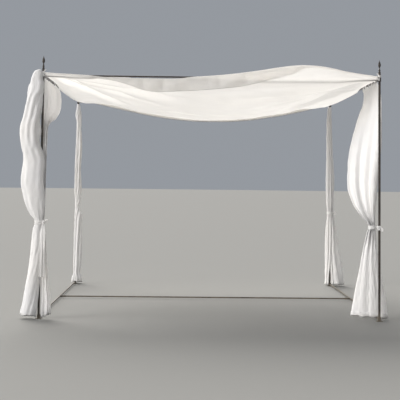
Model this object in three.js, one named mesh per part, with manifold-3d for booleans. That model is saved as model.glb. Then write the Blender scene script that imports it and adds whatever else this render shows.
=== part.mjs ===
// A knock-down garden gazebo: an open frame of slim square steel tubes with spear finials, a sagging
// white sheet as its roof and white curtains gathered to its four posts.
// Units are millimetres. +Z is up, the open front faces -Y and the origin is on the ground, in the
// middle between the four posts.
import * as THREE from "three";
import { mergeVertices } from "three/addons/utils/BufferGeometryUtils.js";
import Module from "manifold-3d";

const wasm = await Module();
wasm.setup();

// Driving dimensions of the frame
const BAY_WIDTH = 3500; // between the post axes, left to right
const BAY_DEPTH = 3500; // between the post axes, front to back
const RAIL_HEIGHT = 2500; // axis of the top rails above the ground
const POST_TOP = 2575; // where the finial starts
const POST_SIDE = 22;
const RAIL_SIDE = 16;
const TUBE_WALL = 1.5;
const GAP = 0.3; // clearance where one piece sits on or in another

// Sockets and feet
const COLLAR_SIDE = 30;
const COLLAR_HEIGHT = 40;
const SLEEVE_SIDE = 20;
const SLEEVE_REACH = 70; // from the post axis to the sleeve's mouth
const FOOT_SIDE = 60;
const FOOT_THICKNESS = 5;
const CROSSBAR_SHIFT = 30; // how far behind the middle the crossbar lies

// Finial, from the post's top up
const FINIAL_HEIGHT = 135;
const SPEAR_HEIGHT = 100;
const SPEAR_FLATNESS = 0.55;
const TURNED_SIDES = 12;
// Radius and height of each point of the turned cap and of the spear
const CAP_PROFILE = [
  [0, 0],
  [13, 0],
  [13, 5],
  [9, 8],
  [7, 14],
  [12, 19],
  [12, 24],
  [7, 29],
  [6, 40],
  [0, 40],
];
const SPEAR_PROFILE = [
  [0, 0],
  [5, 0],
  [11, 18],
  [15, 34],
  [12, 56],
  [6, 80],
  [0, SPEAR_HEIGHT],
];

// Cloth
const SHEET_THICKNESS = 4;
const CORNER_INSET = 15; // from the post axis to the sheet's tied corner
const CORNER_HEIGHT = 2526;
const BELLY_SAG = 90;
const FLAP_FORWARD = 8; // how far in front of its ridge the turned-over front edge hangs
const RISE = [2486, 2506]; // ridge heights between which the margin comes to stand in front of its rail
const RAIL_FRONT = -1773; // how far forward the sheet is where it passes its front rail
const RAIL_TURN = -1763; // the same, where it turns up from under the rail
const RAIL_PASS = 2496; // its height in front of the rail
const RAIL_UNDER = 2477; // and where it turns up
const SHEET_ROWS = 14;
const SHEET_COLUMNS = 28;
const HEM_HEIGHT = 20; // lowest edge of the curtains above the ground
const DRAPE_SIDES = 20;
const DRAPE_FOLDS = 5;
const FOLD_TWIST = 600; // height in which the folds turn by one radian
const TIE_THICKNESS = 3;
const TIE_HEIGHT = 24; // of the bands that hold the sheet's corners
const STRAP_BACK = [8, 13]; // the strap from the front right sash to its post, behind the post's axis
const STRAP_MARGIN = 8; // how much narrower than its sash the strap is at either edge
const BAND_SIDES = 24;
const SASH_OVERLAP = 1; // how much the cloth would bulge into a band if it weren't pressed in
const BEYOND = 60; // how far a cutter runs on past the piece that it cuts

const HALF_WIDTH = BAY_WIDTH / 2;
const HALF_DEPTH = BAY_DEPTH / 2;

const METAL = new THREE.MeshStandardMaterial({ color: 0x2e2823, roughness: 0.5, metalness: 0.7 });
const CLOTH = new THREE.MeshStandardMaterial({ color: 0xefebe6, roughness: 0.9, metalness: 0 });

const CORNERS = [
  { name: "front_left", x: -1, y: -1, turn: 0 },
  { name: "front_right", x: 1, y: -1, turn: Math.PI / 2 },
  { name: "back_right", x: 1, y: 1, turn: Math.PI },
  { name: "back_left", x: -1, y: 1, turn: -Math.PI / 2 },
];

// Joins and cuts

function solidOf(geometry) {
  const plain = geometry.clone();
  plain.deleteAttribute("normal");
  plain.deleteAttribute("uv");
  const merged = mergeVertices(plain, 1e-4);
  return new wasm.Manifold(
    new wasm.Mesh({
      numProp: 3,
      vertProperties: new Float32Array(merged.attributes.position.array),
      triVerts: new Uint32Array(merged.index.array),
    }),
  );
}

function geometryOf(solid) {
  const mesh = solid.getMesh();
  const geometry = new THREE.BufferGeometry();
  geometry.setAttribute("position", new THREE.BufferAttribute(mesh.vertProperties, mesh.numProp));
  geometry.setIndex(new THREE.BufferAttribute(mesh.triVerts, 1));
  const facets = geometry.toNonIndexed();
  facets.computeVertexNormals();
  return facets;
}

// A box by its lowest and highest corners.
function boxSolid(low, high) {
  const size = high.map((value, axis) => value - low[axis]);
  const box = new THREE.BoxGeometry(...size);
  box.translate(...high.map((value, axis) => (value + low[axis]) / 2));
  return solidOf(box);
}

// An upright prism on an ellipse, from one height to another.
function ellipseSolid(centre, radii, low, high) {
  const prism = new THREE.CylinderGeometry(1, 1, high - low, BAND_SIDES);
  prism.rotateX(Math.PI / 2);
  prism.scale(radii[0], radii[1], 1);
  prism.translate(centre[0], centre[1], (low + high) / 2);
  return solidOf(prism);
}

function cutBy(solid, cutters) {
  return cutters.reduce((rest, cutter) => rest.subtract(cutter), solid);
}

function meshOf(name, geometry, material) {
  const mesh = new THREE.Mesh(geometry, material);
  mesh.name = name;
  return mesh;
}

// Frame

// A square tube along +Z from the ground of its own frame.
function squareTube(side, length) {
  const square = (half) => [
    new THREE.Vector2(-half, -half),
    new THREE.Vector2(half, -half),
    new THREE.Vector2(half, half),
    new THREE.Vector2(-half, half),
  ];
  const outline = new THREE.Shape(square(side / 2));
  outline.holes.push(new THREE.Path(square(side / 2 - TUBE_WALL).reverse()));
  return new THREE.ExtrudeGeometry(outline, { depth: length, bevelEnabled: false, steps: 1 });
}

function makePost(corner) {
  const bottom = FOOT_THICKNESS + GAP;
  const post = meshOf(`post_${corner.name}`, squareTube(POST_SIDE, POST_TOP - bottom), METAL);
  post.position.z = bottom;
  return post;
}

// A profile turned round the post's axis.
function turnedShape(profile) {
  const outline = profile.map(([radius, height]) => new THREE.Vector2(radius, height));
  const turned = new THREE.LatheGeometry(outline, TURNED_SIDES);
  turned.rotateX(Math.PI / 2);
  return turned;
}

// Cap, neck and collar, with a flattened spear on top.
function makeFinial(corner) {
  const cap = turnedShape(CAP_PROFILE);
  const spear = turnedShape(SPEAR_PROFILE);
  spear.scale(1, SPEAR_FLATNESS, 1);
  spear.translate(0, 0, FINIAL_HEIGHT - SPEAR_HEIGHT);
  const joined = solidOf(cap).add(solidOf(spear));
  const finial = meshOf(`finial_${corner.name}`, geometryOf(joined), METAL);
  finial.position.z = POST_TOP + GAP;
  return finial;
}

function makeFootPlate(corner) {
  const plate = meshOf(
    `foot_plate_${corner.name}`,
    new THREE.BoxGeometry(FOOT_SIDE, FOOT_SIDE, FOOT_THICKNESS),
    METAL,
  );
  plate.position.z = FOOT_THICKNESS / 2;
  return plate;
}

// A collar round the post with a sleeve for each rail that it holds.
function socketSolid(height, headings) {
  const half = COLLAR_HEIGHT / 2;
  let body = boxSolid(
    [-COLLAR_SIDE / 2, -COLLAR_SIDE / 2, height - half],
    [COLLAR_SIDE / 2, COLLAR_SIDE / 2, height + half],
  );
  const bores = [];
  const postHalf = POST_SIDE / 2 + GAP;
  bores.push(boxSolid([-postHalf, -postHalf, height - 2 * half], [postHalf, postHalf, height + 2 * half]));
  for (const heading of headings) {
    const sleeve = new THREE.BoxGeometry(SLEEVE_REACH, SLEEVE_SIDE, SLEEVE_SIDE);
    sleeve.translate(SLEEVE_REACH / 2, 0, height);
    sleeve.rotateZ(heading);
    body = body.add(solidOf(sleeve));
    const boreSide = RAIL_SIDE + 2 * GAP;
    const bore = new THREE.BoxGeometry(2 * SLEEVE_REACH, boreSide, boreSide);
    bore.translate(COLLAR_SIDE / 2 + SLEEVE_REACH, 0, height);
    bore.rotateZ(heading);
    bores.push(solidOf(bore));
  }
  return cutBy(body, bores);
}

function makeCornerSocket(corner) {
  const solid = socketSolid(RAIL_HEIGHT, [0, Math.PI / 2]);
  const socket = meshOf(`corner_socket_${corner.name}`, geometryOf(solid), METAL);
  socket.rotation.z = corner.turn;
  return socket;
}

function makeFootSocket(corner) {
  const height = FOOT_THICKNESS + GAP + COLLAR_HEIGHT / 2;
  const solid = socketSolid(height, [(-corner.y * Math.PI) / 2]);
  return meshOf(`foot_socket_${corner.name}`, geometryOf(solid), METAL);
}

// A rail between two points, given its axis letter and the place of its middle.
function makeRail(name, axis, span, middle) {
  const length = span - COLLAR_SIDE - 2 * GAP;
  const tube = squareTube(RAIL_SIDE, length);
  tube.translate(0, 0, -length / 2);
  if (axis === "x") tube.rotateY(Math.PI / 2);
  if (axis === "y") tube.rotateX(Math.PI / 2);
  const rail = meshOf(name, tube, METAL);
  rail.position.set(...middle);
  return rail;
}

// A sleeve that clasps a base rail and takes the end of the crossbar, which leaves it along +X.
function crossbarSocketSolid() {
  const clasp = COLLAR_SIDE / 2;
  const wall = SLEEVE_SIDE / 2;
  const railHalf = RAIL_SIDE / 2 + GAP;
  const body = boxSolid([-wall, -clasp, -wall], [wall, clasp, wall]).add(
    boxSolid([0, -wall, -wall], [SLEEVE_REACH, wall, wall]),
  );
  return cutBy(body, [
    boxSolid([-railHalf, -2 * clasp, -railHalf], [railHalf, 2 * clasp, railHalf]),
    boxSolid([wall, -railHalf, -railHalf], [2 * SLEEVE_REACH, railHalf, railHalf]),
  ]);
}

function makeFrame() {
  const frame = new THREE.Group();
  for (const corner of CORNERS) {
    const stand = new THREE.Group();
    stand.position.set(corner.x * HALF_WIDTH, corner.y * HALF_DEPTH, 0);
    stand.add(makePost(corner));
    stand.add(makeFinial(corner));
    stand.add(makeFootPlate(corner));
    stand.add(makeCornerSocket(corner));
    stand.add(makeFootSocket(corner));
    frame.add(stand);
  }
  const base = FOOT_THICKNESS + GAP + COLLAR_HEIGHT / 2;
  frame.add(makeRail("top_rail_front", "x", BAY_WIDTH, [0, -HALF_DEPTH, RAIL_HEIGHT]));
  frame.add(makeRail("top_rail_back", "x", BAY_WIDTH, [0, HALF_DEPTH, RAIL_HEIGHT]));
  frame.add(makeRail("top_rail_left", "y", BAY_DEPTH, [-HALF_WIDTH, 0, RAIL_HEIGHT]));
  frame.add(makeRail("top_rail_right", "y", BAY_DEPTH, [HALF_WIDTH, 0, RAIL_HEIGHT]));
  frame.add(makeRail("base_rail_left", "y", BAY_DEPTH, [-HALF_WIDTH, 0, base]));
  frame.add(makeRail("base_rail_right", "y", BAY_DEPTH, [HALF_WIDTH, 0, base]));
  frame.add(makeRail("crossbar", "x", BAY_WIDTH - SLEEVE_SIDE + COLLAR_SIDE, [0, CROSSBAR_SHIFT, base]));
  for (const side of [-1, 1]) {
    const name = side < 0 ? "crossbar_socket_left" : "crossbar_socket_right";
    const socket = meshOf(name, geometryOf(crossbarSocketSolid()), METAL);
    socket.position.set(side * HALF_WIDTH, CROSSBAR_SHIFT, base);
    socket.rotation.z = side < 0 ? 0 : Math.PI;
    frame.add(socket);
  }
  return frame;
}

// Canopy

const sheetCorner = (x, y) => [
  x * (HALF_WIDTH - CORNER_INSET),
  y * (HALF_DEPTH - CORNER_INSET),
  CORNER_HEIGHT,
];

function edgeCurve(from, between, to) {
  const points = [from, ...between, to].map((point) => new THREE.Vector3(...point));
  return new THREE.CatmullRomCurve3(points, false, "centripetal");
}

// The top of the front margin: it stands in front of its rail at either side, where the wind lifts it on
// the right, and hangs just below the rail left of the middle.
const RIDGE = edgeCurve(
  [-1738, -1766, 2532],
  [
    [-1600, -1768, 2523],
    [-1450, -1769, 2516],
    [-1300, -1770, 2508],
    [-1200, -1769, 2498],
    [-1100, -1768, 2490],
    [-950, -1767, 2485],
    [-750, -1766, 2483],
    [-480, -1766, 2482],
    [-330, -1768, 2487],
    [-230, -1771, 2516],
    [280, -1774, 2548],
    [690, -1777, 2600],
    [1000, -1780, 2636],
    [1400, -1776, 2578],
  ],
  [1738, -1767, 2532],
);

// The hem of that margin, turned over forwards: a lip at either side and a hanging flap between.
const FLAP_HEM = edgeCurve(
  [-1738, 0, 2516],
  [
    [-1450, 0, 2499],
    [-1300, 0, 2491],
    [-1150, 0, 2482],
    [-950, 0, 2473],
    [-820, 0, 2464],
    [-747, 0, 2425],
    [-674, 0, 2352],
    [-541, 0, 2342],
    [-336, 0, 2351],
    [-69, 0, 2366],
    [280, 0, 2403],
    [444, 0, 2436],
    [615, 0, 2483],
    [838, 0, 2542],
    [962, 0, 2604],
    [1060, 0, 2614],
    [1400, 0, 2563],
  ],
  [1738, 0, 2518],
);

// The sheet's four edges inside that margin: the front one runs under its rail. Each side one lies beside
// its rail near the front, under it further back and beside it again at the back post. The back one sags.
const FRONT_LEFT_CORNER = [-1727, -1748, 2484];
const FRONT_RIGHT_CORNER = [1727, -1748, 2484];
const FRONT_EDGE = edgeCurve(
  FRONT_LEFT_CORNER,
  [
    [-1450, -1744, 2482],
    [-1100, -1740, 2477],
    [-750, -1738, 2474],
    [-300, -1739, 2471],
    [280, -1740, 2470],
    [1000, -1740, 2470],
    [1500, -1744, 2476],
  ],
  FRONT_RIGHT_CORNER,
);
const BACK_EDGE = edgeCurve(
  sheetCorner(-1, 1),
  [
    [-1300, 1727, 2432],
    [-920, 1722, 2358],
    [-420, 1718, 2288],
    [60, 1716, 2264],
    [560, 1718, 2290],
    [1010, 1722, 2364],
    [1400, 1728, 2448],
  ],
  sheetCorner(1, 1),
);
const LEFT_EDGE = edgeCurve(
  FRONT_LEFT_CORNER,
  [
    [-1731, -1700, 2490],
    [-1743, -1450, 2513],
    [-1743, -1000, 2513],
    [-1739, -750, 2507],
    [-1739, -560, 2487],
    [-1760, -350, 2485],
    [-1763, 400, 2484],
    [-1762, 1150, 2485],
    [-1738, 1500, 2484],
    [-1734, 1640, 2500],
  ],
  sheetCorner(-1, 1),
);
const RIGHT_EDGE = edgeCurve(
  FRONT_RIGHT_CORNER,
  [
    [1731, -1700, 2490],
    [1734, -1450, 2500],
    [1734, -1100, 2502],
    [1732, -750, 2498],
    [1738, -560, 2486],
    [1760, -350, 2484],
    [1762, 400, 2482],
    [1761, 1150, 2484],
    [1738, 1500, 2482],
    [1734, 1640, 2498],
  ],
  sheetCorner(1, 1),
);

// The point of the curve that lies at a given share of its span along one axis.
function curveAt(curve, axis, value) {
  let low = 0;
  let high = 1;
  for (let step = 0; step < 24; step += 1) {
    const middle = (low + high) / 2;
    if (curve.getPoint(middle)[axis] < value) low = middle;
    else high = middle;
  }
  return curve.getPoint((low + high) / 2);
}

// The point of a curve at a share of its length along one axis.
function spanAt(curve, axis, share) {
  const start = curve.points[0][axis];
  const end = curve.points[curve.points.length - 1][axis];
  return curveAt(curve, axis, THREE.MathUtils.lerp(start, end, share));
}

// A surface between the four edges, with a belly.
function sheetPoint(u, v) {
  const point = new THREE.Vector3();
  point.addScaledVector(spanAt(FRONT_EDGE, "x", u), 1 - v);
  point.addScaledVector(spanAt(BACK_EDGE, "x", u), v);
  point.addScaledVector(spanAt(LEFT_EDGE, "y", v), 1 - u);
  point.addScaledVector(spanAt(RIGHT_EDGE, "y", v), u);
  for (const [corner, weight] of [
    [FRONT_LEFT_CORNER, (1 - u) * (1 - v)],
    [FRONT_RIGHT_CORNER, u * (1 - v)],
    [sheetCorner(-1, 1), (1 - u) * v],
    [sheetCorner(1, 1), u * v],
  ]) {
    point.addScaledVector(new THREE.Vector3(...corner), -weight);
  }
  point.z -= BELLY_SAG * Math.sin(Math.PI * u) * Math.sin(Math.PI * v);
  return point;
}

// The front margin in steps: the flap from its hem up to the ridge, then down in front of the rail, or
// straight back where it hangs below it, to the sheet's front edge.
function marginSteps(u) {
  const ridge = spanAt(RIDGE, "x", u);
  const edge = sheetPoint(u, 0);
  const hem = curveAt(FLAP_HEM, "x", ridge.x);
  const hanging = (share) =>
    new THREE.Vector3(
      ridge.x,
      ridge.y - FLAP_FORWARD * Math.min(1, 2 * share),
      THREE.MathUtils.lerp(ridge.z, hem.z, share),
    );
  const rise = THREE.MathUtils.smoothstep(ridge.z, ...RISE);
  const across = (ridge.x + edge.x) / 2;
  const passing = new THREE.Vector3(across, RAIL_FRONT, RAIL_PASS);
  const turning = new THREE.Vector3(across, RAIL_TURN, RAIL_UNDER);
  const front = ridge.clone().lerp(edge, 1 / 3).lerp(passing, rise);
  const knee = ridge.clone().lerp(edge, 2 / 3).lerp(turning, rise);
  return [hanging(1), hanging(0.5), ridge, front, knee, edge];
}

const MARGIN_ROWS = 5;

// A point of the whole sheet, by its share of the width and its row from the hem back.
function canopyPoint(u, row) {
  if (row >= MARGIN_ROWS) return sheetPoint(u, (row - MARGIN_ROWS) / SHEET_ROWS);
  const steps = marginSteps(u);
  const step = Math.floor(row);
  return steps[step].clone().lerp(steps[step + 1], row - step);
}

// A thin closed slab bent to the sheet.
function canopySolid() {
  const rows = MARGIN_ROWS + SHEET_ROWS;
  const slab = new THREE.BoxGeometry(1, 1, 1, SHEET_COLUMNS, rows, 1);
  const position = slab.attributes.position;
  for (let i = 0; i < position.count; i += 1) {
    const u = position.getX(i) + 0.5;
    const row = (position.getY(i) + 0.5) * rows;
    const side = Math.sign(position.getZ(i));
    const along = canopyPoint(Math.min(1, u + 0.01), row).sub(canopyPoint(Math.max(0, u - 0.01), row));
    const across = canopyPoint(u, Math.min(rows, row + 0.2)).sub(canopyPoint(u, Math.max(0, row - 0.2)));
    const normal = along.cross(across).normalize();
    const point = canopyPoint(u, row).addScaledVector(normal, (side * SHEET_THICKNESS) / 2);
    position.setXYZ(i, point.x, point.y, point.z);
  }
  return solidOf(slab);
}

// The rails, sockets and ties that the sheet must stay clear of.
function canopyClearance() {
  const rail = RAIL_SIDE / 2 + GAP;
  const sleeve = SLEEVE_SIDE / 2 + GAP;
  const collar = COLLAR_SIDE / 2 + GAP;
  const tie = POST_SIDE / 2 + TIE_THICKNESS + 2 * GAP;
  const bars = [];
  for (const side of [-1, 1]) {
    for (const [half, reach] of [
      [rail, HALF_WIDTH],
      [sleeve, SLEEVE_REACH],
    ]) {
      const low = RAIL_HEIGHT - half;
      const high = RAIL_HEIGHT + half;
      for (const end of [-1, 1]) {
        const x = end * HALF_WIDTH;
        const y = end * HALF_DEPTH;
        const across = [x - reach, x + reach];
        const along = [y - reach, y + reach];
        const row = side * HALF_DEPTH;
        const column = side * HALF_WIDTH;
        bars.push(boxSolid([across[0], row - half, low], [across[1], row + half, high]));
        bars.push(boxSolid([column - half, along[0], low], [column + half, along[1], high]));
      }
    }
  }
  for (const { x, y } of CORNERS) {
    const place = [x * HALF_WIDTH, y * HALF_DEPTH];
    for (const [half, low, high] of [
      [collar, RAIL_HEIGHT - COLLAR_HEIGHT, RAIL_HEIGHT + COLLAR_HEIGHT / 2 + GAP],
      [tie, RAIL_HEIGHT, POST_TOP],
    ]) {
      bars.push(
        boxSolid([place[0] - half, place[1] - half, low], [place[0] + half, place[1] + half, high]),
      );
    }
  }
  return bars;
}

function makeCanopy() {
  return meshOf("canopy", geometryOf(cutBy(canopySolid(), canopyClearance())), CLOTH);
}

// A flat band round the post that holds one corner of the sheet.
function makeCanopyTie(corner) {
  const inner = POST_SIDE / 2 + GAP;
  const outer = inner + TIE_THICKNESS;
  const low = RAIL_HEIGHT + COLLAR_HEIGHT / 2 + GAP;
  const high = low + TIE_HEIGHT;
  const band = boxSolid([-outer, -outer, low], [outer, outer, high]).subtract(
    boxSolid([-inner, -inner, low - 1], [inner, inner, high + 1]),
  );
  return meshOf(`canopy_tie_${corner.name}`, geometryOf(band), CLOTH);
}

// Curtains
//
// Each curtain is a gathered bundle of cloth. Its stations run upwards as
// [height, centre x, centre y, half length, half thickness, heading in degrees, depth of the folds],
// measured from the axis of its post.

function drapeSolid(stations, rings) {
  const heights = stations.map((station) => station[0]);
  const values = stations.flatMap((station) => station.slice(1));
  const section = new THREE.CubicInterpolant(heights, values, stations[0].length - 1);
  const low = heights[0];
  const high = heights[heights.length - 1];
  const bundle = new THREE.CylinderGeometry(1, 1, 1, DRAPE_SIDES, rings);
  bundle.rotateX(Math.PI / 2);
  const position = bundle.attributes.position;
  for (let i = 0; i < position.count; i += 1) {
    const height = THREE.MathUtils.lerp(low, high, position.getZ(i) + 0.5);
    const [x, y, length, thickness, degrees, depth] = section.evaluate(height);
    const angle = Math.atan2(position.getY(i), position.getX(i));
    const reach = Math.hypot(position.getX(i), position.getY(i));
    const fold = reach * (1 + depth * Math.cos(DRAPE_FOLDS * angle + height / FOLD_TWIST));
    const heading = THREE.MathUtils.degToRad(degrees);
    const offset = new THREE.Vector2(length * fold * Math.cos(angle), thickness * fold * Math.sin(angle));
    offset.rotateAround(new THREE.Vector2(), heading);
    position.setXYZ(i, x + offset.x, y + offset.y, height);
  }
  return solidOf(bundle);
}

// The metal that a curtain must stay clear of, measured from the axis of its post.
function postClearance(corner) {
  const post = POST_SIDE / 2 + GAP;
  const collar = COLLAR_SIDE / 2 + GAP;
  const sleeve = SLEEVE_SIDE / 2 + GAP;
  const inwards = -corner.y * BAY_DEPTH;
  const sideways = -corner.x * BAY_WIDTH;
  const base = FOOT_THICKNESS + GAP + COLLAR_HEIGHT / 2;
  const bars = [];
  for (const height of [base, RAIL_HEIGHT]) {
    const low = height - COLLAR_HEIGHT / 2 - GAP;
    const high = height + COLLAR_HEIGHT / 2 + GAP;
    bars.push(boxSolid([-collar, -collar, low], [collar, collar, high]));
    bars.push(
      boxSolid(
        [-sleeve, Math.min(0, inwards), height - sleeve],
        [sleeve, Math.max(0, inwards), height + sleeve],
      ),
    );
  }
  const tie = POST_SIDE / 2 + TIE_THICKNESS + 2 * GAP;
  bars.push(boxSolid([-tie, -tie, RAIL_HEIGHT], [tie, tie, POST_TOP]));
  bars.push(
    boxSolid(
      [Math.min(0, sideways), -sleeve, RAIL_HEIGHT - sleeve],
      [Math.max(0, sideways), sleeve, RAIL_HEIGHT + sleeve],
    ),
  );
  bars.push(boxSolid([-post, -post, 0], [post, post, 2 * POST_TOP]));
  return bars;
}

// A sash: an elliptical band round the gathered cloth.
function sashSolid(sash) {
  const outer = ellipseSolid(sash.centre, sash.radii.map((r) => r + TIE_THICKNESS), sash.low, sash.high);
  return outer.subtract(ellipseSolid(sash.centre, sash.radii, sash.low - 1, sash.high + 1));
}

// What the band presses the cloth out of.
function sashClearance(sash) {
  const wide = sash.radii.map((r) => r + BEYOND);
  const inside = sash.radii.map((r) => r - GAP);
  const low = sash.low - GAP;
  const high = sash.high + GAP;
  return ellipseSolid(sash.centre, wide, low, high).subtract(
    ellipseSolid(sash.centre, inside, low - 1, high + 1),
  );
}

const SASHES = {
  front_left: { centre: [-6, -2], radii: [52, 36], low: 962, high: 1006 },
  front_right: { centre: [-73, 38], radii: [38, 32], low: 962, high: 1000 },
  back_right: { centre: [8, 2], radii: [46, 36], low: 985, high: 1020 },
};

const CURTAINS = {
  curtain_front_left_outer: {
    corner: "front_left",
    side: -1,
    rings: 17,
    stations: [
      [HEM_HEIGHT, -104, -8, 92, 62, 8, 0.1],
      [330, -74, -6, 68, 50, 6, 0.1],
      [590, -52, -4, 52, 42, 4, 0.08],
      [900, -36, -2, 38, 38, 0, 0.02],
      [970, -30, -2, 30 + SASH_OVERLAP, 34, 0, 0],
      [1000, -30, -2, 30 + SASH_OVERLAP, 34, 0, 0],
      [1067, -52, 2, 56, 40, 0, 0.03],
      [1174, -78, 8, 80, 50, 0, 0.06],
      [1420, -112, 20, 106, 64, 0, 0.1],
      [1620, -102, 24, 90, 66, 0, 0.1],
      [1772, -116, 24, 100, 66, 0, 0.08],
      [1932, -126, 24, 108, 66, 0, 0.08],
      [2220, -96, 20, 80, 60, 0, 0.08],
      [2400, -82, 14, 68, 52, 0, 0.06],
      [2540, -72, 8, 54, 42, 0, 0.05],
      [2604, -52, 2, 24, 22, 0, 0],
    ],
  },
  curtain_front_left_inner: {
    corner: "front_left",
    side: 1,
    rings: 17,
    stations: [
      [HEM_HEIGHT, 72, -4, 60, 56, -6, 0.1],
      [330, 58, -4, 54, 48, -4, 0.1],
      [590, 42, -4, 44, 42, -3, 0.08],
      [900, 26, -2, 30, 36, 0, 0.02],
      [970, 20, -2, 26 + SASH_OVERLAP, 34, 0, 0],
      [1000, 20, -2, 26 + SASH_OVERLAP, 34, 0, 0],
      [1100, 22, 4, 28, 34, 0, 0.03],
      [1500, 24, 12, 30, 34, 10, 0.05],
      [1900, 24, 20, 28, 32, 30, 0.05],
      [2010, 28, 40, 46, 32, 66, 0.04],
      [2080, 38, 130, 134, 34, 80, 0.03],
      [2180, 46, 335, 330, 38, 85, 0.03],
      [2300, 48, 500, 492, 38, 88, 0.03],
      [2400, 36, 590, 575, 26, 89, 0.02],
      [2462, 22, 578, 550, 12, 90, 0],
      [2480, 20, 578, 548, 8, 90, 0],
    ],
  },
  curtain_front_right: {
    corner: "front_right",
    side: 0,
    rings: 18,
    stations: [
      [HEM_HEIGHT, -104, 112, 196, 84, 0, 0.08],
      [250, -96, 104, 158, 74, 0, 0.08],
      [490, -92, 84, 118, 62, 0, 0.07],
      [800, -80, 54, 68, 44, 0, 0.03],
      [965, -73, 38, 38 + SASH_OVERLAP, 33, 0, 0],
      [998, -73, 38, 38 + SASH_OVERLAP, 33, 0, 0],
      [1100, -104, 60, 96, 46, -14, 0.03],
      [1200, -132, 110, 140, 56, -28, 0.05],
      [1375, -132, 190, 196, 60, -46, 0.06],
      [1570, -120, 240, 256, 58, -60, 0.06],
      [1860, -88, 300, 330, 50, -72, 0.05],
      [2130, -48, 400, 416, 40, -83, 0.04],
      [2350, -28, 520, 516, 26, -88, 0.02],
      [2462, -24, 580, 552, 12, -90, 0],
      [2480, -22, 580, 552, 8, -90, 0],
    ],
  },
  curtain_back_left: {
    corner: "back_left",
    side: 0,
    rings: 18,
    stations: [
      [HEM_HEIGHT, 24, -4, 70, 52, 0, 0.12],
      [60, 24, -4, 70, 54, 0, 0.12],
      [150, 22, -2, 46, 36, 0, 0.06],
      [283, 30, 0, 60, 42, 0, 0.08],
      [620, 30, 0, 60, 42, 0, 0.08],
      [930, 28, 0, 56, 40, 0, 0.08],
      [1039, 16, 0, 30, 28, 0, 0.02],
      [1150, 14, 0, 46, 34, 0, 0.06],
      [1294, 15, 0, 52, 36, 0, 0.08],
      [1563, 8, 0, 46, 34, 0, 0.08],
      [1860, 14, 0, 43, 32, 0, 0.08],
      [2210, 12, 0, 32, 28, 0, 0.06],
      [2305, 6, 0, 38, 30, 0, 0.06],
      [2466, -2, 0, 22, 22, 0, 0],
    ],
  },
  curtain_back_right: {
    corner: "back_right",
    side: 0,
    rings: 17,
    stations: [
      [HEM_HEIGHT, 72, 12, 150, 64, 0, 0.1],
      [80, 72, 12, 136, 60, 0, 0.1],
      [286, 50, 8, 122, 54, 0, 0.1],
      [547, 26, 6, 98, 48, 0, 0.09],
      [809, 12, 4, 72, 42, 0, 0.06],
      [988, 8, 2, 46 + SASH_OVERLAP, 37, 0, 0],
      [1018, 8, 2, 46 + SASH_OVERLAP, 37, 0, 0],
      [1120, 4, 2, 54, 38, 0, 0.03],
      [1414, 2, 2, 62, 40, 0, 0.07],
      [1772, -4, 0, 47, 36, 0, 0.07],
      [2211, -12, 0, 38, 30, 0, 0.06],
      [2470, -10, 0, 25, 24, 0, 0],
    ],
  },
};

// A curtain keeps to its own side of the post where a second one covers the other side.
function sideClearance(side) {
  if (side === 0) return [];
  const far = BAY_WIDTH;
  const edge = side * GAP;
  const low = side > 0 ? -far : edge;
  const high = side > 0 ? edge : far;
  return [boxSolid([low, -far, -far], [high, far, far])];
}

function makeCurtain(name, curtain) {
  const corner = CORNERS.find((entry) => entry.name === curtain.corner);
  const cutters = [...postClearance(corner), ...sideClearance(curtain.side)];
  if (SASHES[curtain.corner]) cutters.push(sashClearance(SASHES[curtain.corner]));
  const solid = cutBy(drapeSolid(curtain.stations, curtain.rings), cutters);
  const mesh = meshOf(name, geometryOf(solid), CLOTH);
  mesh.position.set(corner.x * HALF_WIDTH, corner.y * HALF_DEPTH, 0);
  return mesh;
}

function makeSash(place) {
  const corner = CORNERS.find((entry) => entry.name === place);
  const sash = SASHES[place];
  let solid = sashSolid(sash);
  if (place === "front_right") {
    // This sash ties the cloth to the post beside it: a loop round the post and a strap between them.
    const inner = POST_SIDE / 2 + GAP;
    const outer = inner + TIE_THICKNESS;
    const loop = boxSolid([-outer, -outer, sash.low], [outer, outer, sash.high]);
    const [near, far] = STRAP_BACK;
    const strap = boxSolid(
      [sash.centre[0], near, sash.low + STRAP_MARGIN],
      [-inner, far, sash.high - STRAP_MARGIN],
    );
    const hole = boxSolid([-inner, -inner, sash.low - 1], [inner, inner, sash.high + 1]);
    const bundle = ellipseSolid(sash.centre, sash.radii, sash.low - 1, sash.high + 1);
    solid = solid.add(loop).add(strap).subtract(hole).subtract(bundle);
  }
  const mesh = meshOf(`curtain_tie_${place}`, geometryOf(solid), CLOTH);
  mesh.position.set(corner.x * HALF_WIDTH, corner.y * HALF_DEPTH, 0);
  return mesh;
}

const gazebo = new THREE.Group();
gazebo.add(makeFrame());
gazebo.add(makeCanopy());
for (const corner of CORNERS) {
  const tie = makeCanopyTie(corner);
  tie.position.set(corner.x * HALF_WIDTH, corner.y * HALF_DEPTH, 0);
  gazebo.add(tie);
}
for (const [name, curtain] of Object.entries(CURTAINS)) gazebo.add(makeCurtain(name, curtain));
for (const place of Object.keys(SASHES)) gazebo.add(makeSash(place));

export default gazebo;
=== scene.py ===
"""A knock-down garden gazebo: slim dark steel tubes, a sagging white roof sheet and gathered curtains.

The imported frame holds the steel. This script gives it its painted finish and puts a modelled sheet, with
its folds, hems and ties, in the place of each plain cloth solid.
Lengths are metres, +Z is up, the open front faces -Y and the origin is on the ground between the posts.
"""

import logging
import math
from collections.abc import Callable, Sequence
from dataclasses import dataclass, field
from enum import Enum

import bmesh
import bpy
import numpy as np
from mathutils import Matrix, Vector


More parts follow.
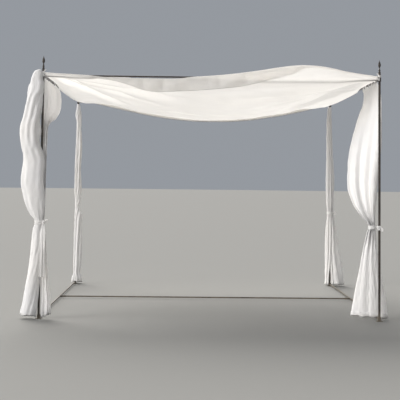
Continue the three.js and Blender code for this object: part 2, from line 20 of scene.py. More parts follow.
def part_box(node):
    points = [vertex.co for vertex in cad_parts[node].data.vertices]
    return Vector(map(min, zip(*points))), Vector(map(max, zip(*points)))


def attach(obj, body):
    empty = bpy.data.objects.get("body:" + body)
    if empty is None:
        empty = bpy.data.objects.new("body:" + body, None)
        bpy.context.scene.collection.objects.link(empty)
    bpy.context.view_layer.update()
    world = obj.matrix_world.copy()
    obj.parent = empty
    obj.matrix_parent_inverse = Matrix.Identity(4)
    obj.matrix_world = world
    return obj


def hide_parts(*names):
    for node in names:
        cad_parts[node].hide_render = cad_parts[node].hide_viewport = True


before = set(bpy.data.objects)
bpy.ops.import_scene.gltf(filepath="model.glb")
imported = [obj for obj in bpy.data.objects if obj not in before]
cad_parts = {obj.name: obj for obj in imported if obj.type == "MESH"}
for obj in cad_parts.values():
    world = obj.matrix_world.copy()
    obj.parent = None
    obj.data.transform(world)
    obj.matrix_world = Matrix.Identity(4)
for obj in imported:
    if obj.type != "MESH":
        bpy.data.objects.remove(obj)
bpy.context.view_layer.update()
LOG = logging.getLogger("gazebo")

PHOTO_SIDE = 400  # pixels along each side of the picture
SENSOR = 36.0  # millimetres across the camera's sensor
SHEET_GAUGE = 0.001  # thickness that a sheet of cloth gets
HEM_GAP = 0.0025  # how far behind its sheet a hem lies
BELOW_GROUND = -1.0  # a height that no cloth reaches
RIB_COLUMNS = 6  # of a strip of cloth, for each crease that runs along it
RIB_STRAY = 1.4  # how far those creases stray, in radians
SIDE = 3.5  # of the frame, between the posts' axes
KNOT_PLEATS = 7
KNOT_FOLD = 0.12  # how high its pleats stand, as a share of its size
KNOT_LUMP = 0.16  # the same for its lumps
KNOT_SHAPE = (0.75, 1.15)  # its depth and height, for each of its widths
END_PINCH = 0.35  # share of its width that a loose end has at its knot
END_OPENING = 0.12  # how far from there it gets its full width, at most
END_TWIST = 0.25  # how far it turns to either side, in radians

Point = tuple[float, float, float]
Colour = tuple[float, float, float]
Array = np.ndarray
Piece = bpy.types.Object
Socket = bpy.types.NodeSocket


class Corner(Enum):
    """A post of the gazebo, by the signs of its place along X and Y."""

    FRONT_LEFT = (-1, -1)
    FRONT_RIGHT = (1, -1)
    BACK_RIGHT = (1, 1)
    BACK_LEFT = (-1, 1)

    @property
    def word(self) -> str:
        """The corner's name as the frame's nodes spell it."""
        return self.name.lower()

    def post(self) -> Array:
        """The foot of the post's axis, on the ground."""
        low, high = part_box(f"post_{self.word}")
        return np.array([*((low + high) / 2).xy, 0.0])


class Section(Enum):
    """How a gathered sheet lies round its post."""

    PANEL = "open beside it"
    BUNDLE = "rolled up beside it"
    WRAPPED = "round it"


def smooth_through(knots: Array, values: Array, at: Array) -> Array:
    """Reads a smooth curve that passes through the values and never overshoots them.

    Args:
        knots: Rising positions of the values.
        values: One row for each knot.
        at: Positions to read.

    Returns:
        One row for each position.
    """
    steps = np.diff(knots)[:, None]
    secants = np.diff(values, axis=0) / steps
    slopes = np.zeros_like(values)
    before, after = secants[:-1], secants[1:]
    together = before * after > 0
    weight = np.where(together, before + after, 1.0)
    slopes[1:-1] = np.where(together, 2 * before * after / weight, 0.0)
    slopes[0], slopes[-1] = secants[0], secants[-1]
    span = np.clip(np.searchsorted(knots, at, side="right") - 1, 0, len(knots) - 2)
    width = steps[span]
    share = ((at - knots[span])[:, None]) / width
    rise = share * share * (3 - 2 * share)
    lead = share * (1 - share) ** 2
    trail = share * share * (share - 1)
    held = values[span] * (1 - rise) + values[span + 1] * rise
    return held + width * (lead * slopes[span] + trail * slopes[span + 1])


def smooth_step(value: Array, low: float, high: float) -> Array:
    """Rises smoothly from 0 at low to 1 at high."""
    share = np.clip((value - low) / (high - low), 0.0, 1.0)
    return share * share * (3 - 2 * share)


def at_least(value: Array, floor: Array, blend: float) -> Array:
    """Keeps a value above a floor, with a rounded corner of that size where the two meet."""
    gap = (value - floor) / blend
    return floor + blend * np.logaddexp(0.0, gap)


class Wander:
    """Smooth noise over two coordinates, the same on each run."""

    def __init__(self, seed: int, waves: int = 7, height: float = 0.6) -> None:
        """Draws the waves.

        Args:
            seed: Number that fixes the pattern.
            waves: How many sine waves are added.
            height: How high their sum usually stands.
        """
        random = np.random.default_rng(seed)
        heading = random.uniform(0, math.tau, waves)
        pace = random.uniform(0.5, 1.7, waves) * math.tau
        self.across = pace * np.cos(heading)
        self.down = pace * np.sin(heading)
        self.start = random.uniform(0, math.tau, waves)
        self.scale = math.sqrt(2 / waves) * height

    def __call__(self, across: Array, down: Array) -> Array:
        """Reads the noise.

        Args:
            across: The first coordinate.
            down: The second one.

        Returns:
            Its value there, mostly between -1 and 1.
        """
        total = 0.0
        for a, b, start in zip(self.across, self.down, self.start):
            total = total + np.sin(a * across + b * down + start)
        return total * self.scale


class Pleats:
    """Folds of uneven width that drift and merge along the cloth, the same on each run."""

    def __init__(self, count: float, seed: int, waves: int = 6) -> None:
        """Draws the folds.

        Args:
            count: About how many lie side by side.
            seed: Number that fixes the pattern.
            waves: How many sine waves are added.
        """
        random = np.random.default_rng(seed)
        self.pace = math.tau * count * random.uniform(0.55, 1.4, waves)
        self.start = random.uniform(0, math.tau, waves)
        self.drift = random.uniform(-1.5, 1.5, waves)
        self.sway = random.uniform(0.2, 0.8, waves)
        sizes = random.uniform(0.6, 1.0, waves)
        self.sizes = sizes / math.sqrt((sizes**2).sum() / 2)

    def __call__(self, across: Array, down: Array) -> Array:
        """Reads the folds.

        Args:
            across: Shares of the cloth's width.
            down: Lengths along it, in metres.

        Returns:
            How far it swings out there, between -1 and 1.
        """
        total = 0.0
        for pace, start, drift, sway, size in zip(
            self.pace, self.start, self.drift, self.sway, self.sizes
        ):
            turn = start + drift * down + sway * np.sin(2.2 * down + start)
            total = total + size * np.sin(pace * across + turn)
        return np.tanh(1.1 * total)


def normals_of(points: Array) -> Array:
    """The unit normals of a sheet that is given as rows and columns of points."""
    normal = np.cross(np.gradient(points, axis=1), np.gradient(points, axis=0))
    return normal / np.maximum(np.linalg.norm(normal, axis=2, keepdims=True), 1e-9)


def with_hem(points: Array, rows: int) -> Array:
    """Folds a hem of so many rows back behind the last rows of a sheet."""
    back = points[-rows - 1 : -1][::-1] + normals_of(points)[-rows - 1 : -1][::-1] * HEM_GAP
    return np.concatenate([points, back])


def lengths_along(points: Array, axis: int) -> Array:
    """How far along the cloth each row or column lies, by the mean of its steps."""
    steps = np.linalg.norm(np.diff(points, axis=axis), axis=2).mean(axis=1 - axis)
    return np.concatenate([[0.0], np.cumsum(steps)])


def run_along(line: Array) -> Array:
    """How far along a line each of its points lies."""
    return np.concatenate([[0.0], np.cumsum(np.linalg.norm(np.diff(line, axis=0), axis=1))])


def in_scene(name: str, data: bpy.types.ID) -> Piece:
    """Adds an object to the scene.

    Args:
        name: Its name.
        data: Its mesh, camera or light.

    Returns:
        The object.
    """
    made = bpy.data.objects.new(name, data)
    bpy.context.scene.collection.objects.link(made)
    return made


def own_mesh(name: str, shape: bmesh.types.BMesh, material: bpy.types.Material) -> Piece:
    """Turns a bmesh into an object of the scene.

    Args:
        name: The piece's name.
        shape: What it is made of; it is freed.
        material: Its finish.

    Returns:
        The object, at the origin, with smooth faces.
    """
    mesh = bpy.data.meshes.new(name)
    shape.to_mesh(mesh)
    shape.free()
    mesh.polygons.foreach_set("use_smooth", [True] * len(mesh.polygons))
    mesh.materials.append(material)
    return in_scene(name, mesh)


def settle_piece(piece: Piece, slot: str, *nodes: str) -> Piece:
    """Puts a finished piece on the frame.

    Args:
        piece: The object, in place.
        slot: The record's material slot; not used.
        nodes: The frame's nodes that it stands for.

    Returns:
        The piece.
    """
    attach(piece, "root")
    if nodes:
        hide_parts(*nodes)
    faces = len(piece.data.polygons)
    LOG.info("%s: %d faces, in place of %s", piece.name, faces, ", ".join(nodes) or "nothing")
    return piece


def cloth_piece(
    name: str, points: Array, material: bpy.types.Material, slot: str, *nodes: str
) -> Piece:
    """Makes a sheet of cloth from rows and columns of points and puts it on the frame.

    Args:
        name: The piece's name.
        points: Rows, columns and coordinates.
        material: Its finish, which reads the sheet's flat lengths from its UV map.
        slot: The record's material slot.
        nodes: The frame's nodes that it stands for.

    Returns:
        The sheet, with a live Solidify modifier.
    """
    rows, columns = points.shape[:2]
    across, down = lengths_along(points, 1), lengths_along(points, 0)
    shape = bmesh.new()
    bmesh.ops.create_grid(shape, x_segments=columns - 1, y_segments=rows - 1, size=1.0, calc_uvs=False)
    flat = shape.loops.layers.uv.new("flat")
    places: dict[int, tuple[int, int]] = {}
    for vertex in shape.verts:
        column = round((vertex.co.x + 1) / 2 * (columns - 1))
        row = round((vertex.co.y + 1) / 2 * (rows - 1))
        places[vertex.index] = (row, column)
        vertex.co = points[row, column]
    for face in shape.faces:
        for loop in face.loops:
            row, column = places[loop.vert.index]
            loop[flat].uv = (across[column], down[row])
    piece = own_mesh(name, shape, material)
    solid = piece.modifiers.new("gauge", "SOLIDIFY")
    solid.thickness = SHEET_GAUGE
    solid.offset = 0.0
    solid.use_rim = True
    return settle_piece(piece, slot, *nodes)


def cut_of(piece: Piece, points: Array) -> tuple[float, float]:
    """Measures and reports the cut that a sheet was made from.

    Args:
        piece: The sheet.
        points: Its rows and columns.

    Returns:
        The cut's width and length.
    """
    width, length = (float(lengths_along(points, axis)[-1]) for axis in (1, 0))
    LOG.info("%s: cut %.2f by %.2f m", piece.name, width, length)
    return width, length


class Board:
    """Adds and joins the nodes of one material or node group."""

    def __init__(self, tree: bpy.types.NodeTree) -> None:
        """Starts on an empty tree.

        Args:
            tree: The tree that the nodes go into.
        """
        self.tree = tree
        tree.nodes.clear()

    def feed(self, socket: Socket, value: object) -> None:
        """Gives an input its value.

        Args:
            socket: The input.
            value: A number, a colour or the output of another node.
        """
        if isinstance(value, Socket):
            self.tree.links.new(value, socket)
        else:
            socket.default_value = (*value, 1.0) if socket.type == "RGBA" else value

    def add(self, kind: str, inputs: dict | None = None, **settings: object) -> bpy.types.Node:
        """Adds a node.

        Args:
            kind: Its type.
            inputs: What each input gets, by its name or number.
            settings: Its properties.

        Returns:
            The node.
        """
        node = self.tree.nodes.new(kind)
        for name, value in settings.items():
            setattr(node, name, value)
        for key, value in (inputs or {}).items():
            self.feed(node.inputs[key], value)
        return node

    def maths(self, operation: str, first: object, second: object = 0.0) -> Socket:
        """A Math node's result, from sockets or plain numbers."""
        return self.add("ShaderNodeMath", {0: first, 1: second}, operation=operation).outputs[0]

    def plus(self, first: object, second: object) -> Socket:
        """The sum of two values."""
        return self.maths("ADD", first, second)

    def times(self, first: object, second: object) -> Socket:
        """The product of two values."""
        return self.maths("MULTIPLY", first, second)

    def noise(self, vector: Socket, scale: float, detail: float) -> Socket:
        """A Noise Texture's value, read at a vector."""
        inputs = {"Scale": scale, "Detail": detail, "Vector": vector}
        return self.add("ShaderNodeTexNoise", inputs).outputs["Fac"]

    def stretched(self, vector: Socket, scale: Sequence[float]) -> Socket:
        """The vector, scaled along each axis."""
        return self.add("ShaderNodeMapping", {"Scale": scale, "Vector": vector}).outputs[0]

    def scaled(self, vector: Socket, scale: Socket) -> Socket:
        """The vector, scaled by a value."""
        return self.add("ShaderNodeVectorMath", {0: vector, "Scale": scale}, operation="SCALE").outputs[0]

    def ramp(self, value: Socket, low: float, high: float) -> Socket:
        """The value, stretched so that low becomes 0 and high 1."""
        inputs = {"Value": value, "From Min": low, "From Max": high}
        return self.add("ShaderNodeMapRange", inputs, interpolation_type="SMOOTHSTEP").outputs[0]

    def blend(self, share: Socket, first: object, second: object) -> Socket:
        """A colour between two colours or colour sockets."""
        return self.add("ShaderNodeMix", {0: share, 6: first, 7: second}, data_type="RGBA").outputs[2]

    def bump(self, height: Socket, strength: float, depth: float) -> Socket:
        """A normal that follows a height."""
        inputs = {"Strength": strength, "Distance": depth, "Height": height}
        return self.add("ShaderNodeBump", inputs).outputs[0]

    def mixed(self, share: object, first: bpy.types.Node, second: bpy.types.Node) -> Socket:
        """A shader between two shaders."""
        inputs = {0: share, 1: first.outputs[0], 2: second.outputs[0]}
        return self.add("ShaderNodeMixShader", inputs).outputs[0]


def new_group(name: str, inputs: dict[str, object], outputs: Sequence[str]) -> tuple[Board, dict, dict]:
    """Starts a shader node group.

    Args:
        name: The group's name.
        inputs: Each input with its default, a number or None for a vector.
        outputs: The outputs, all plain values.

    Returns:
        Its board, its input sockets and its output sockets.
    """
    tree = bpy.data.node_groups.new(name, "ShaderNodeTree")
    board = Board(tree)
    for label, value in inputs.items():
        kind = "NodeSocketVector" if value is None else "NodeSocketFloat"
        socket = tree.interface.new_socket(name=label, in_out="INPUT", socket_type=kind)
        if value is not None:
            socket.default_value = value
    for label in outputs:
        tree.interface.new_socket(name=label, in_out="OUTPUT", socket_type="NodeSocketFloat")
    return board, board.add("NodeGroupInput").outputs, board.add("NodeGroupOutput").inputs


def new_material(name: str, surface: Callable[[Board], Socket]) -> bpy.types.Material:
    """Makes a material.

    Args:
        name: The material's name.
        surface: Adds its nodes to a board and returns its shader.

    Returns:
        The material.
    """
    made = bpy.data.materials.new(name)
    made.use_nodes = True
    board = Board(made.node_tree)
    board.add("ShaderNodeOutputMaterial", {"Surface": surface(board)})
    return made


class Effects:
    """The node groups that more than one finish uses."""

    def __init__(self) -> None:
        """Builds each group once."""
        self.weave = self._weave()
        self.crease = self._crease()
        self.soil = self._soil()
        self.mottle = self._mottle()

    def _weave(self) -> bpy.types.NodeTree:
        """Threads that cross, with thick places along them, from flat lengths in metres.

        Returns:
            The group.
        """
        inputs = {"Flat": None, "Threads": 900.0, "Slub": 0.5}
        board, taken, given = new_group("weave", inputs, ["Height", "Slub"])
        ways = board.add("ShaderNodeSeparateXYZ", {0: taken["Flat"]}).outputs[:2]
        turns = board.times(taken["Threads"], math.tau)
        threads = board.maths("MAXIMUM", *(board.maths("SINE", board.times(way, turns)) for way in ways))
        grains = ((220.0, 9.0, 1.0), (7.0, 190.0, 1.0))
        slubs = (board.noise(board.stretched(taken["Flat"], grain), 1.0, 2.0) for grain in grains)
        slub = board.ramp(board.maths("MAXIMUM", *slubs), 0.5, 0.82)
        height = board.plus(board.times(threads, 0.25), board.times(slub, taken["Slub"]))
        board.feed(given["Height"], height)
        board.feed(given["Slub"], slub)
        return board.tree

    def _crease(self) -> bpy.types.NodeTree:
        """Soft creases of cloth that was folded and packed, from flat lengths in metres.

        Returns:
            The group.
        """
        board, taken, given = new_group("crease", {"Flat": None, "Size": 6.0}, ["Height"])
        scaled = board.scaled(taken["Flat"], taken["Size"])
        along = board.noise(board.stretched(scaled, (2.6, 0.7, 1.0)), 1.0, 4.0)
        inputs = {"Vector": scaled, "Scale": 0.9}
        cells = board.add("ShaderNodeTexVoronoi", inputs, feature="DISTANCE_TO_EDGE")
        ridge = board.ramp(cells.outputs["Distance"], 0.0, 0.22)
        board.feed(given["Height"], board.plus(along, board.times(ridge, 0.16)))
        return board.tree

    def _soil(self) -> bpy.types.NodeTree:
        """Dust and splashes that thin out upwards from the ground.

        Returns:
            The group.
        """
        board, taken, given = new_group("soil", {"Place": None, "Reach": 0.3}, ["Mask"])
        height = board.add("ShaderNodeSeparateXYZ", {0: taken["Place"]}).outputs[2]
        low = board.maths("SUBTRACT", 1.0, board.maths("DIVIDE", height, taken["Reach"]))
        patches = board.maths("SUBTRACT", board.noise(taken["Place"], 14.0, 5.0), 0.5)
        ragged = board.plus(low, board.times(patches, 1.4))
        board.feed(given["Mask"], board.ramp(ragged, 0.15, 1.1))
        return board.tree

    def _mottle(self) -> bpy.types.NodeTree:
        """Large soft patches and small flecks over a surface.

        Returns:
            The group.
        """
        board, taken, given = new_group("mottle", {"Place": None, "Size": 20.0}, ["Patch", "Fleck"])
        scaled = board.scaled(taken["Place"], taken["Size"])
        board.feed(given["Patch"], board.noise(scaled, 0.22, 3.0))
        board.feed(given["Fleck"], board.ramp(board.noise(scaled, 3.2, 4.0), 0.6, 0.72))
        return board.tree


def placed(board: Board, group: bpy.types.NodeTree, vector: Socket, **values: float) -> dict:
    """Puts a node group into a material.

    Args:
        board: The material's board.
        group: The group.
        vector: What its first input reads.
        values: Its other inputs, by name.

    Returns:
        Its outputs.
    """
    return board.add("ShaderNodeGroup", {0: vector, **values}, node_tree=group).outputs


@dataclass(frozen=True)
class Voile:
    """A thin white cloth that light shines through."""

    name: str
    colour: Colour
    shaded: Colour
    through: Colour
    threads: float = 900.0
    crease_size: float = 6.0
    crease: float = 0.35
    crease_depth: float = 0.006
    weave_relief: float = 0.06
    glow: float = 0.5
    gloss: float = 0.15
    sheen: float = 0.25
    roughness: float = 0.78
    slub_roughness: float = 0.12
    patch_size: float = 9.0
    soiled: Colour = (0.62, 0.6, 0.5)
    soil_share: float = 0.16
    soil_reach: float = 0.12

    def material(self, effects: Effects) -> bpy.types.Material:
        """The cloth's material, from the shared effects."""
        return new_material(self.name, lambda board: self._surface(board, effects))

    def _surface(self, board: Board, effects: Effects) -> Socket:
        """Adds the cloth's nodes.

        Args:
            board: The material's board.
            effects: The shared node groups.

        Returns:
            The shader.
        """
        flat = board.add("ShaderNodeUVMap", uv_map="flat").outputs[0]
        place = board.add("ShaderNodeTexCoord").outputs["Object"]
        weave = placed(board, effects.weave, flat, Threads=self.threads)
        crease = placed(board, effects.crease, flat, Size=self.crease_size)
        soil = placed(board, effects.soil, place, Reach=self.soil_reach)
        mottle = placed(board, effects.mottle, place, Size=self.patch_size)
        dirty = board.times(soil["Mask"], self.soil_share)
        tone = board.blend(board.ramp(mottle["Patch"], 0.3, 0.7), self.shaded, self.colour)
        height = board.plus(board.times(weave["Height"], self.weave_relief), crease["Height"])
        normal = board.bump(height, self.crease, self.crease_depth)
        cloth = board.add(
            "ShaderNodeBsdfPrincipled",
            {
                "Base Color": board.blend(dirty, tone, self.soiled),
                "Roughness": board.plus(board.times(weave["Slub"], self.slub_roughness), self.roughness),
                "Specular IOR Level": self.gloss,
                "Sheen Weight": self.sheen,
                "Sheen Roughness": 0.5,
                "Normal": normal,
            },
        )
        shine = board.blend(dirty, self.through, self.soiled)
        lit = board.add("ShaderNodeBsdfTranslucent", {"Color": shine, "Normal": normal})
        return board.mixed(self.glow, cloth, lit)


@dataclass(frozen=True)
class PaintedSteel:
    """Dark brown paint on steel, with dull patches, rust flecks and dust near the ground."""

    name: str
    colour: Colour = (0.030, 0.024, 0.020)
    faded: Colour = (0.060, 0.050, 0.042)
    rust: Colour = (0.16, 0.065, 0.025)
    dust: Colour = (0.22, 0.19, 0.14)
    roughness: float = 0.36
    patch_size: float = 55.0
    dust_share: float = 0.5
    dust_reach: float = 0.12
    flecks: float = 0.5
    grain: float = 900.0
    grain_depth: float = 0.0006

    def material(self, effects: Effects) -> bpy.types.Material:
        """The paint's material, from the shared effects."""
        return new_material(self.name, lambda board: self._surface(board, effects))

    def _surface(self, board: Board, effects: Effects) -> Socket:
        """Adds the paint's nodes.

        Args:
            board: The material's board.
            effects: The shared node groups.

        Returns:
            The shader.
        """
        place = board.add("ShaderNodeTexCoord").outputs["Object"]
        mottle = placed(board, effects.mottle, place, Size=self.patch_size)
        soil = placed(board, effects.soil, place, Reach=self.dust_reach)
        fleck = board.times(mottle["Fleck"], self.flecks)
        dusty = board.times(soil["Mask"], self.dust_share)
        tone = board.blend(board.ramp(mottle["Patch"], 0.35, 0.7), self.colour, self.faded)
        tone = board.blend(dusty, board.blend(fleck, tone, self.rust), self.dust)
        dull = board.plus(board.times(mottle["Patch"], 0.22), self.roughness - 0.1)
        dull = board.plus(board.plus(dull, board.times(fleck, 0.3)), board.times(dusty, 0.4))
        relief = board.plus(board.noise(place, self.grain, 2.0), board.times(fleck, -1.5))
        paint = {
            "Base Color": tone,
            "Roughness": dull,
            "Coat Weight": 0.06,
            "Coat Roughness": 0.3,
            "Normal": board.bump(relief, 0.25, self.grain_depth),
        }
        return board.add("ShaderNodeBsdfPrincipled", paint).outputs[0]


class Palette:
    """Every finish of the gazebo, built once."""

    def __init__(self) -> None:
        """Builds the materials from their finishes."""
        effects = Effects()
        self.canopy = Voile(
            "roof voile", (0.93, 0.92, 0.91), (0.88, 0.88, 0.89), (0.96, 0.95, 0.93), glow=0.7
        ).material(effects)
        self.curtain = Voile(
            "curtain voile",
            (0.94, 0.93, 0.92),
            (0.89, 0.89, 0.90),
            (0.96, 0.95, 0.93),
            crease_size=9.0,
            glow=0.36,
        ).material(effects)
        self.sash = Voile(
            "sash voile",
            (0.95, 0.94, 0.93),
            (0.90, 0.90, 0.90),
            (0.95, 0.94, 0.92),
            threads=1100.0,
            crease_size=22.0,
            crease=0.5,
            glow=0.45,
        ).material(effects)
        self.tube = PaintedSteel("painted tube").material(effects)
        self.socket = PaintedSteel("painted socket", roughness=0.42, flecks=0.8).material(effects)
        self.turned = PaintedSteel("painted spear", roughness=0.44, flecks=0.3).material(effects)


@dataclass
class SteelFrame:
    """The posts, rails, sockets and feet, with rounded edges, and the spears on the posts."""

    palette: Palette
    edge: float = 0.0012
    cap_radius: float = 0.013
    neck: float = 0.0072
    shoulder: float = 0.27  # where the blade starts, as a share of the finial's height
    blade: Sequence[float] = (0.0, 0.3, 0.62, 0.9, 1.0, 0.94, 0.78, 0.55, 0.3, 0.1, 0.0)  # its widths
    blade_width: float = 0.98  # of the finial's box
    blade_flatness: float = 0.5
    turns: int = 36

    def dress(self) -> None:
        """Gives each steel node its finish and rounds its edges."""
        for name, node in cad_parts.items():
            if name.startswith(("canopy", "curtain", "finial")):
                continue
            plain = name.startswith(("post", "top_rail", "base_rail")) or name == "crossbar"
            node.data.materials.clear()
            node.data.materials.append(self.palette.tube if plain else self.palette.socket)
            weld = node.modifiers.new("one skin", "WELD")
            weld.merge_threshold = 0.00005
            bevel = node.modifiers.new("rolled edges", "BEVEL")
            bevel.width = self.edge
            bevel.segments = 2
            bevel.limit_method = "ANGLE"
            bevel.angle_limit = math.radians(40)
            bevel.harden_normals = False
            LOG.info("%s: painted", name)

    def _turned(self, profile: Sequence[tuple[float, float]], flatness: float) -> bmesh.types.BMesh:
        """A shape turned round Z, and flattened along Y.

        Args:
            profile: Radius and height of each point, from the bottom up.
            flatness: Depth as a share of the width.

        Returns:
            The closed shape.
        """
        shape = bmesh.new()
        line = [shape.verts.new((radius, 0.0, height)) for radius, height in profile]
        edges = [shape.edges.new(pair) for pair in zip(line, line[1:])]
        bmesh.ops.spin(
            shape,
            geom=line + edges,
            cent=(0, 0, 0),
            axis=(0, 0, 1),
            angle=math.tau,
            steps=self.turns,
            use_merge=True,
        )
        bmesh.ops.remove_doubles(shape, verts=shape.verts, dist=1e-6)
        bmesh.ops.recalc_face_normals(shape, faces=shape.faces)
        bmesh.ops.scale(shape, vec=(1.0, flatness, 1.0), verts=shape.verts)
        return shape

    def _finial(self, corner: Corner) -> None:
        """Puts the turned cap and the flat spear on one post.

        Args:
            corner: The post.
        """
        low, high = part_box(f"finial_{corner.word}")
        tall = high.z - low.z
        shoulder = tall * self.shoulder
        cap = [
            (0.0, 0.0),
            (self.cap_radius, 0.0),
            (self.cap_radius, 0.004),
            (self.cap_radius * 0.8, 0.006),
            (self.neck * 1.15, 0.010),
            (self.neck * 1.1, 0.013),
            (self.cap_radius * 0.84, 0.017),
            (self.cap_radius * 0.92, 0.0205),
            (self.cap_radius * 0.84, 0.024),
            (self.neck * 1.1, 0.028),
            (self.neck, shoulder + 0.006),
            (0.0, shoulder + 0.006),
        ]
        widest = (high.x - low.x) / 2 * self.blade_width
        heights = np.linspace(shoulder, tall, len(self.blade))
        spear = [(share * widest, float(height)) for share, height in zip(self.blade, heights)]
        shape = self._turned(cap, 1.0)
        loan = bpy.data.meshes.new("blade")
        part = self._turned(spear, self.blade_flatness)
        part.to_mesh(loan)
        part.free()
        shape.from_mesh(loan)
        bpy.data.meshes.remove(loan)
        foot = (low + high) / 2
        bmesh.ops.translate(shape, vec=(foot.x, foot.y, low.z), verts=shape.verts)
        piece = own_mesh(f"spear_{corner.word}", shape, self.palette.turned)
        settle_piece(piece, "frame_metal", f"finial_{corner.word}")

    def build(self) -> None:
        """Finishes all the steel."""
        self.dress()
        for corner in Corner:
            self._finial(corner)


def metres(*rows: Sequence[int]) -> tuple[Point, ...]:
    """Points that are given in millimetres."""
    return tuple(tuple(number / 1000 for number in row) for row in rows)


def level_table(*rows: Sequence[int]) -> Array:
    """The levels of a gathered sheet, from the top down, as measured from the foot of its post.

    A row holds the sheet's two sides as x, y and z, then a depth and an arch, all in millimetres, then a
    turn in degrees and a cover in percent. On an open panel the sides are its edges, depth is how far its
    folds swing out and arch is how far it bulges. On a bundled or wrapped one depth is half its outline
    the other way, turn is the direction in which its edges meet, and cover is its share of a full turn.

    Args:
        rows: The levels. Those of the last three numbers that are left out are 0, -90 and 106.

    Returns:
        The rows, with lengths in metres and the cover as a share.
    """
    full = np.array([(*row, *(0, -90, 106)[len(row) - 7 :]) for row in rows])
    return full / np.array([1000] * 8 + [1, 100])


@dataclass(frozen=True)
class Waist:
    """Where a sash holds a curtain: an oval, measured from the foot of the post."""

    middle: Point
    radii: tuple[float, float]
    half_height: float = 0.02
    near: float = 0.1  # height beside the sash over which the cloth spreads
    spread: float = 2.2  # how much wider it may be there
    growth: float = 60.0  # how fast that grows further away
    hardness: int = 8  # how sharply it is held

    def around(self, angle: float | Array, spare: float | Array) -> tuple:
        """The x and y of points round the oval, when it is scaled by spare."""
        (x, y, _), (wide, deep) = self.middle, self.radii
        return x + wide * spare * np.cos(angle), y + deep * spare * np.sin(angle)

    def hold(self, points: Array) -> Array:
        """Draws the points of a curtain in to the oval.

        Args:
            points: Rows, columns and coordinates, from the foot of the post.

        Returns:
            The points, held in near the sash and free away from it.
        """
        middle = np.array(self.middle)
        away = np.maximum(np.abs(points[..., 2] - middle[2]) - self.half_height, 0.0)
        room = 1.0 + self.spread * (away / self.near) + self.growth * away**2
        offset = points[..., :2] - middle[:2]
        reach = np.linalg.norm(offset / np.array(self.radii), axis=-1)
        held = (1.0 + (reach / room) ** self.hardness) ** (-1 / self.hardness)
        drawn = points.copy()
        drawn[..., :2] = middle[:2] + offset * held[..., None]
        return drawn


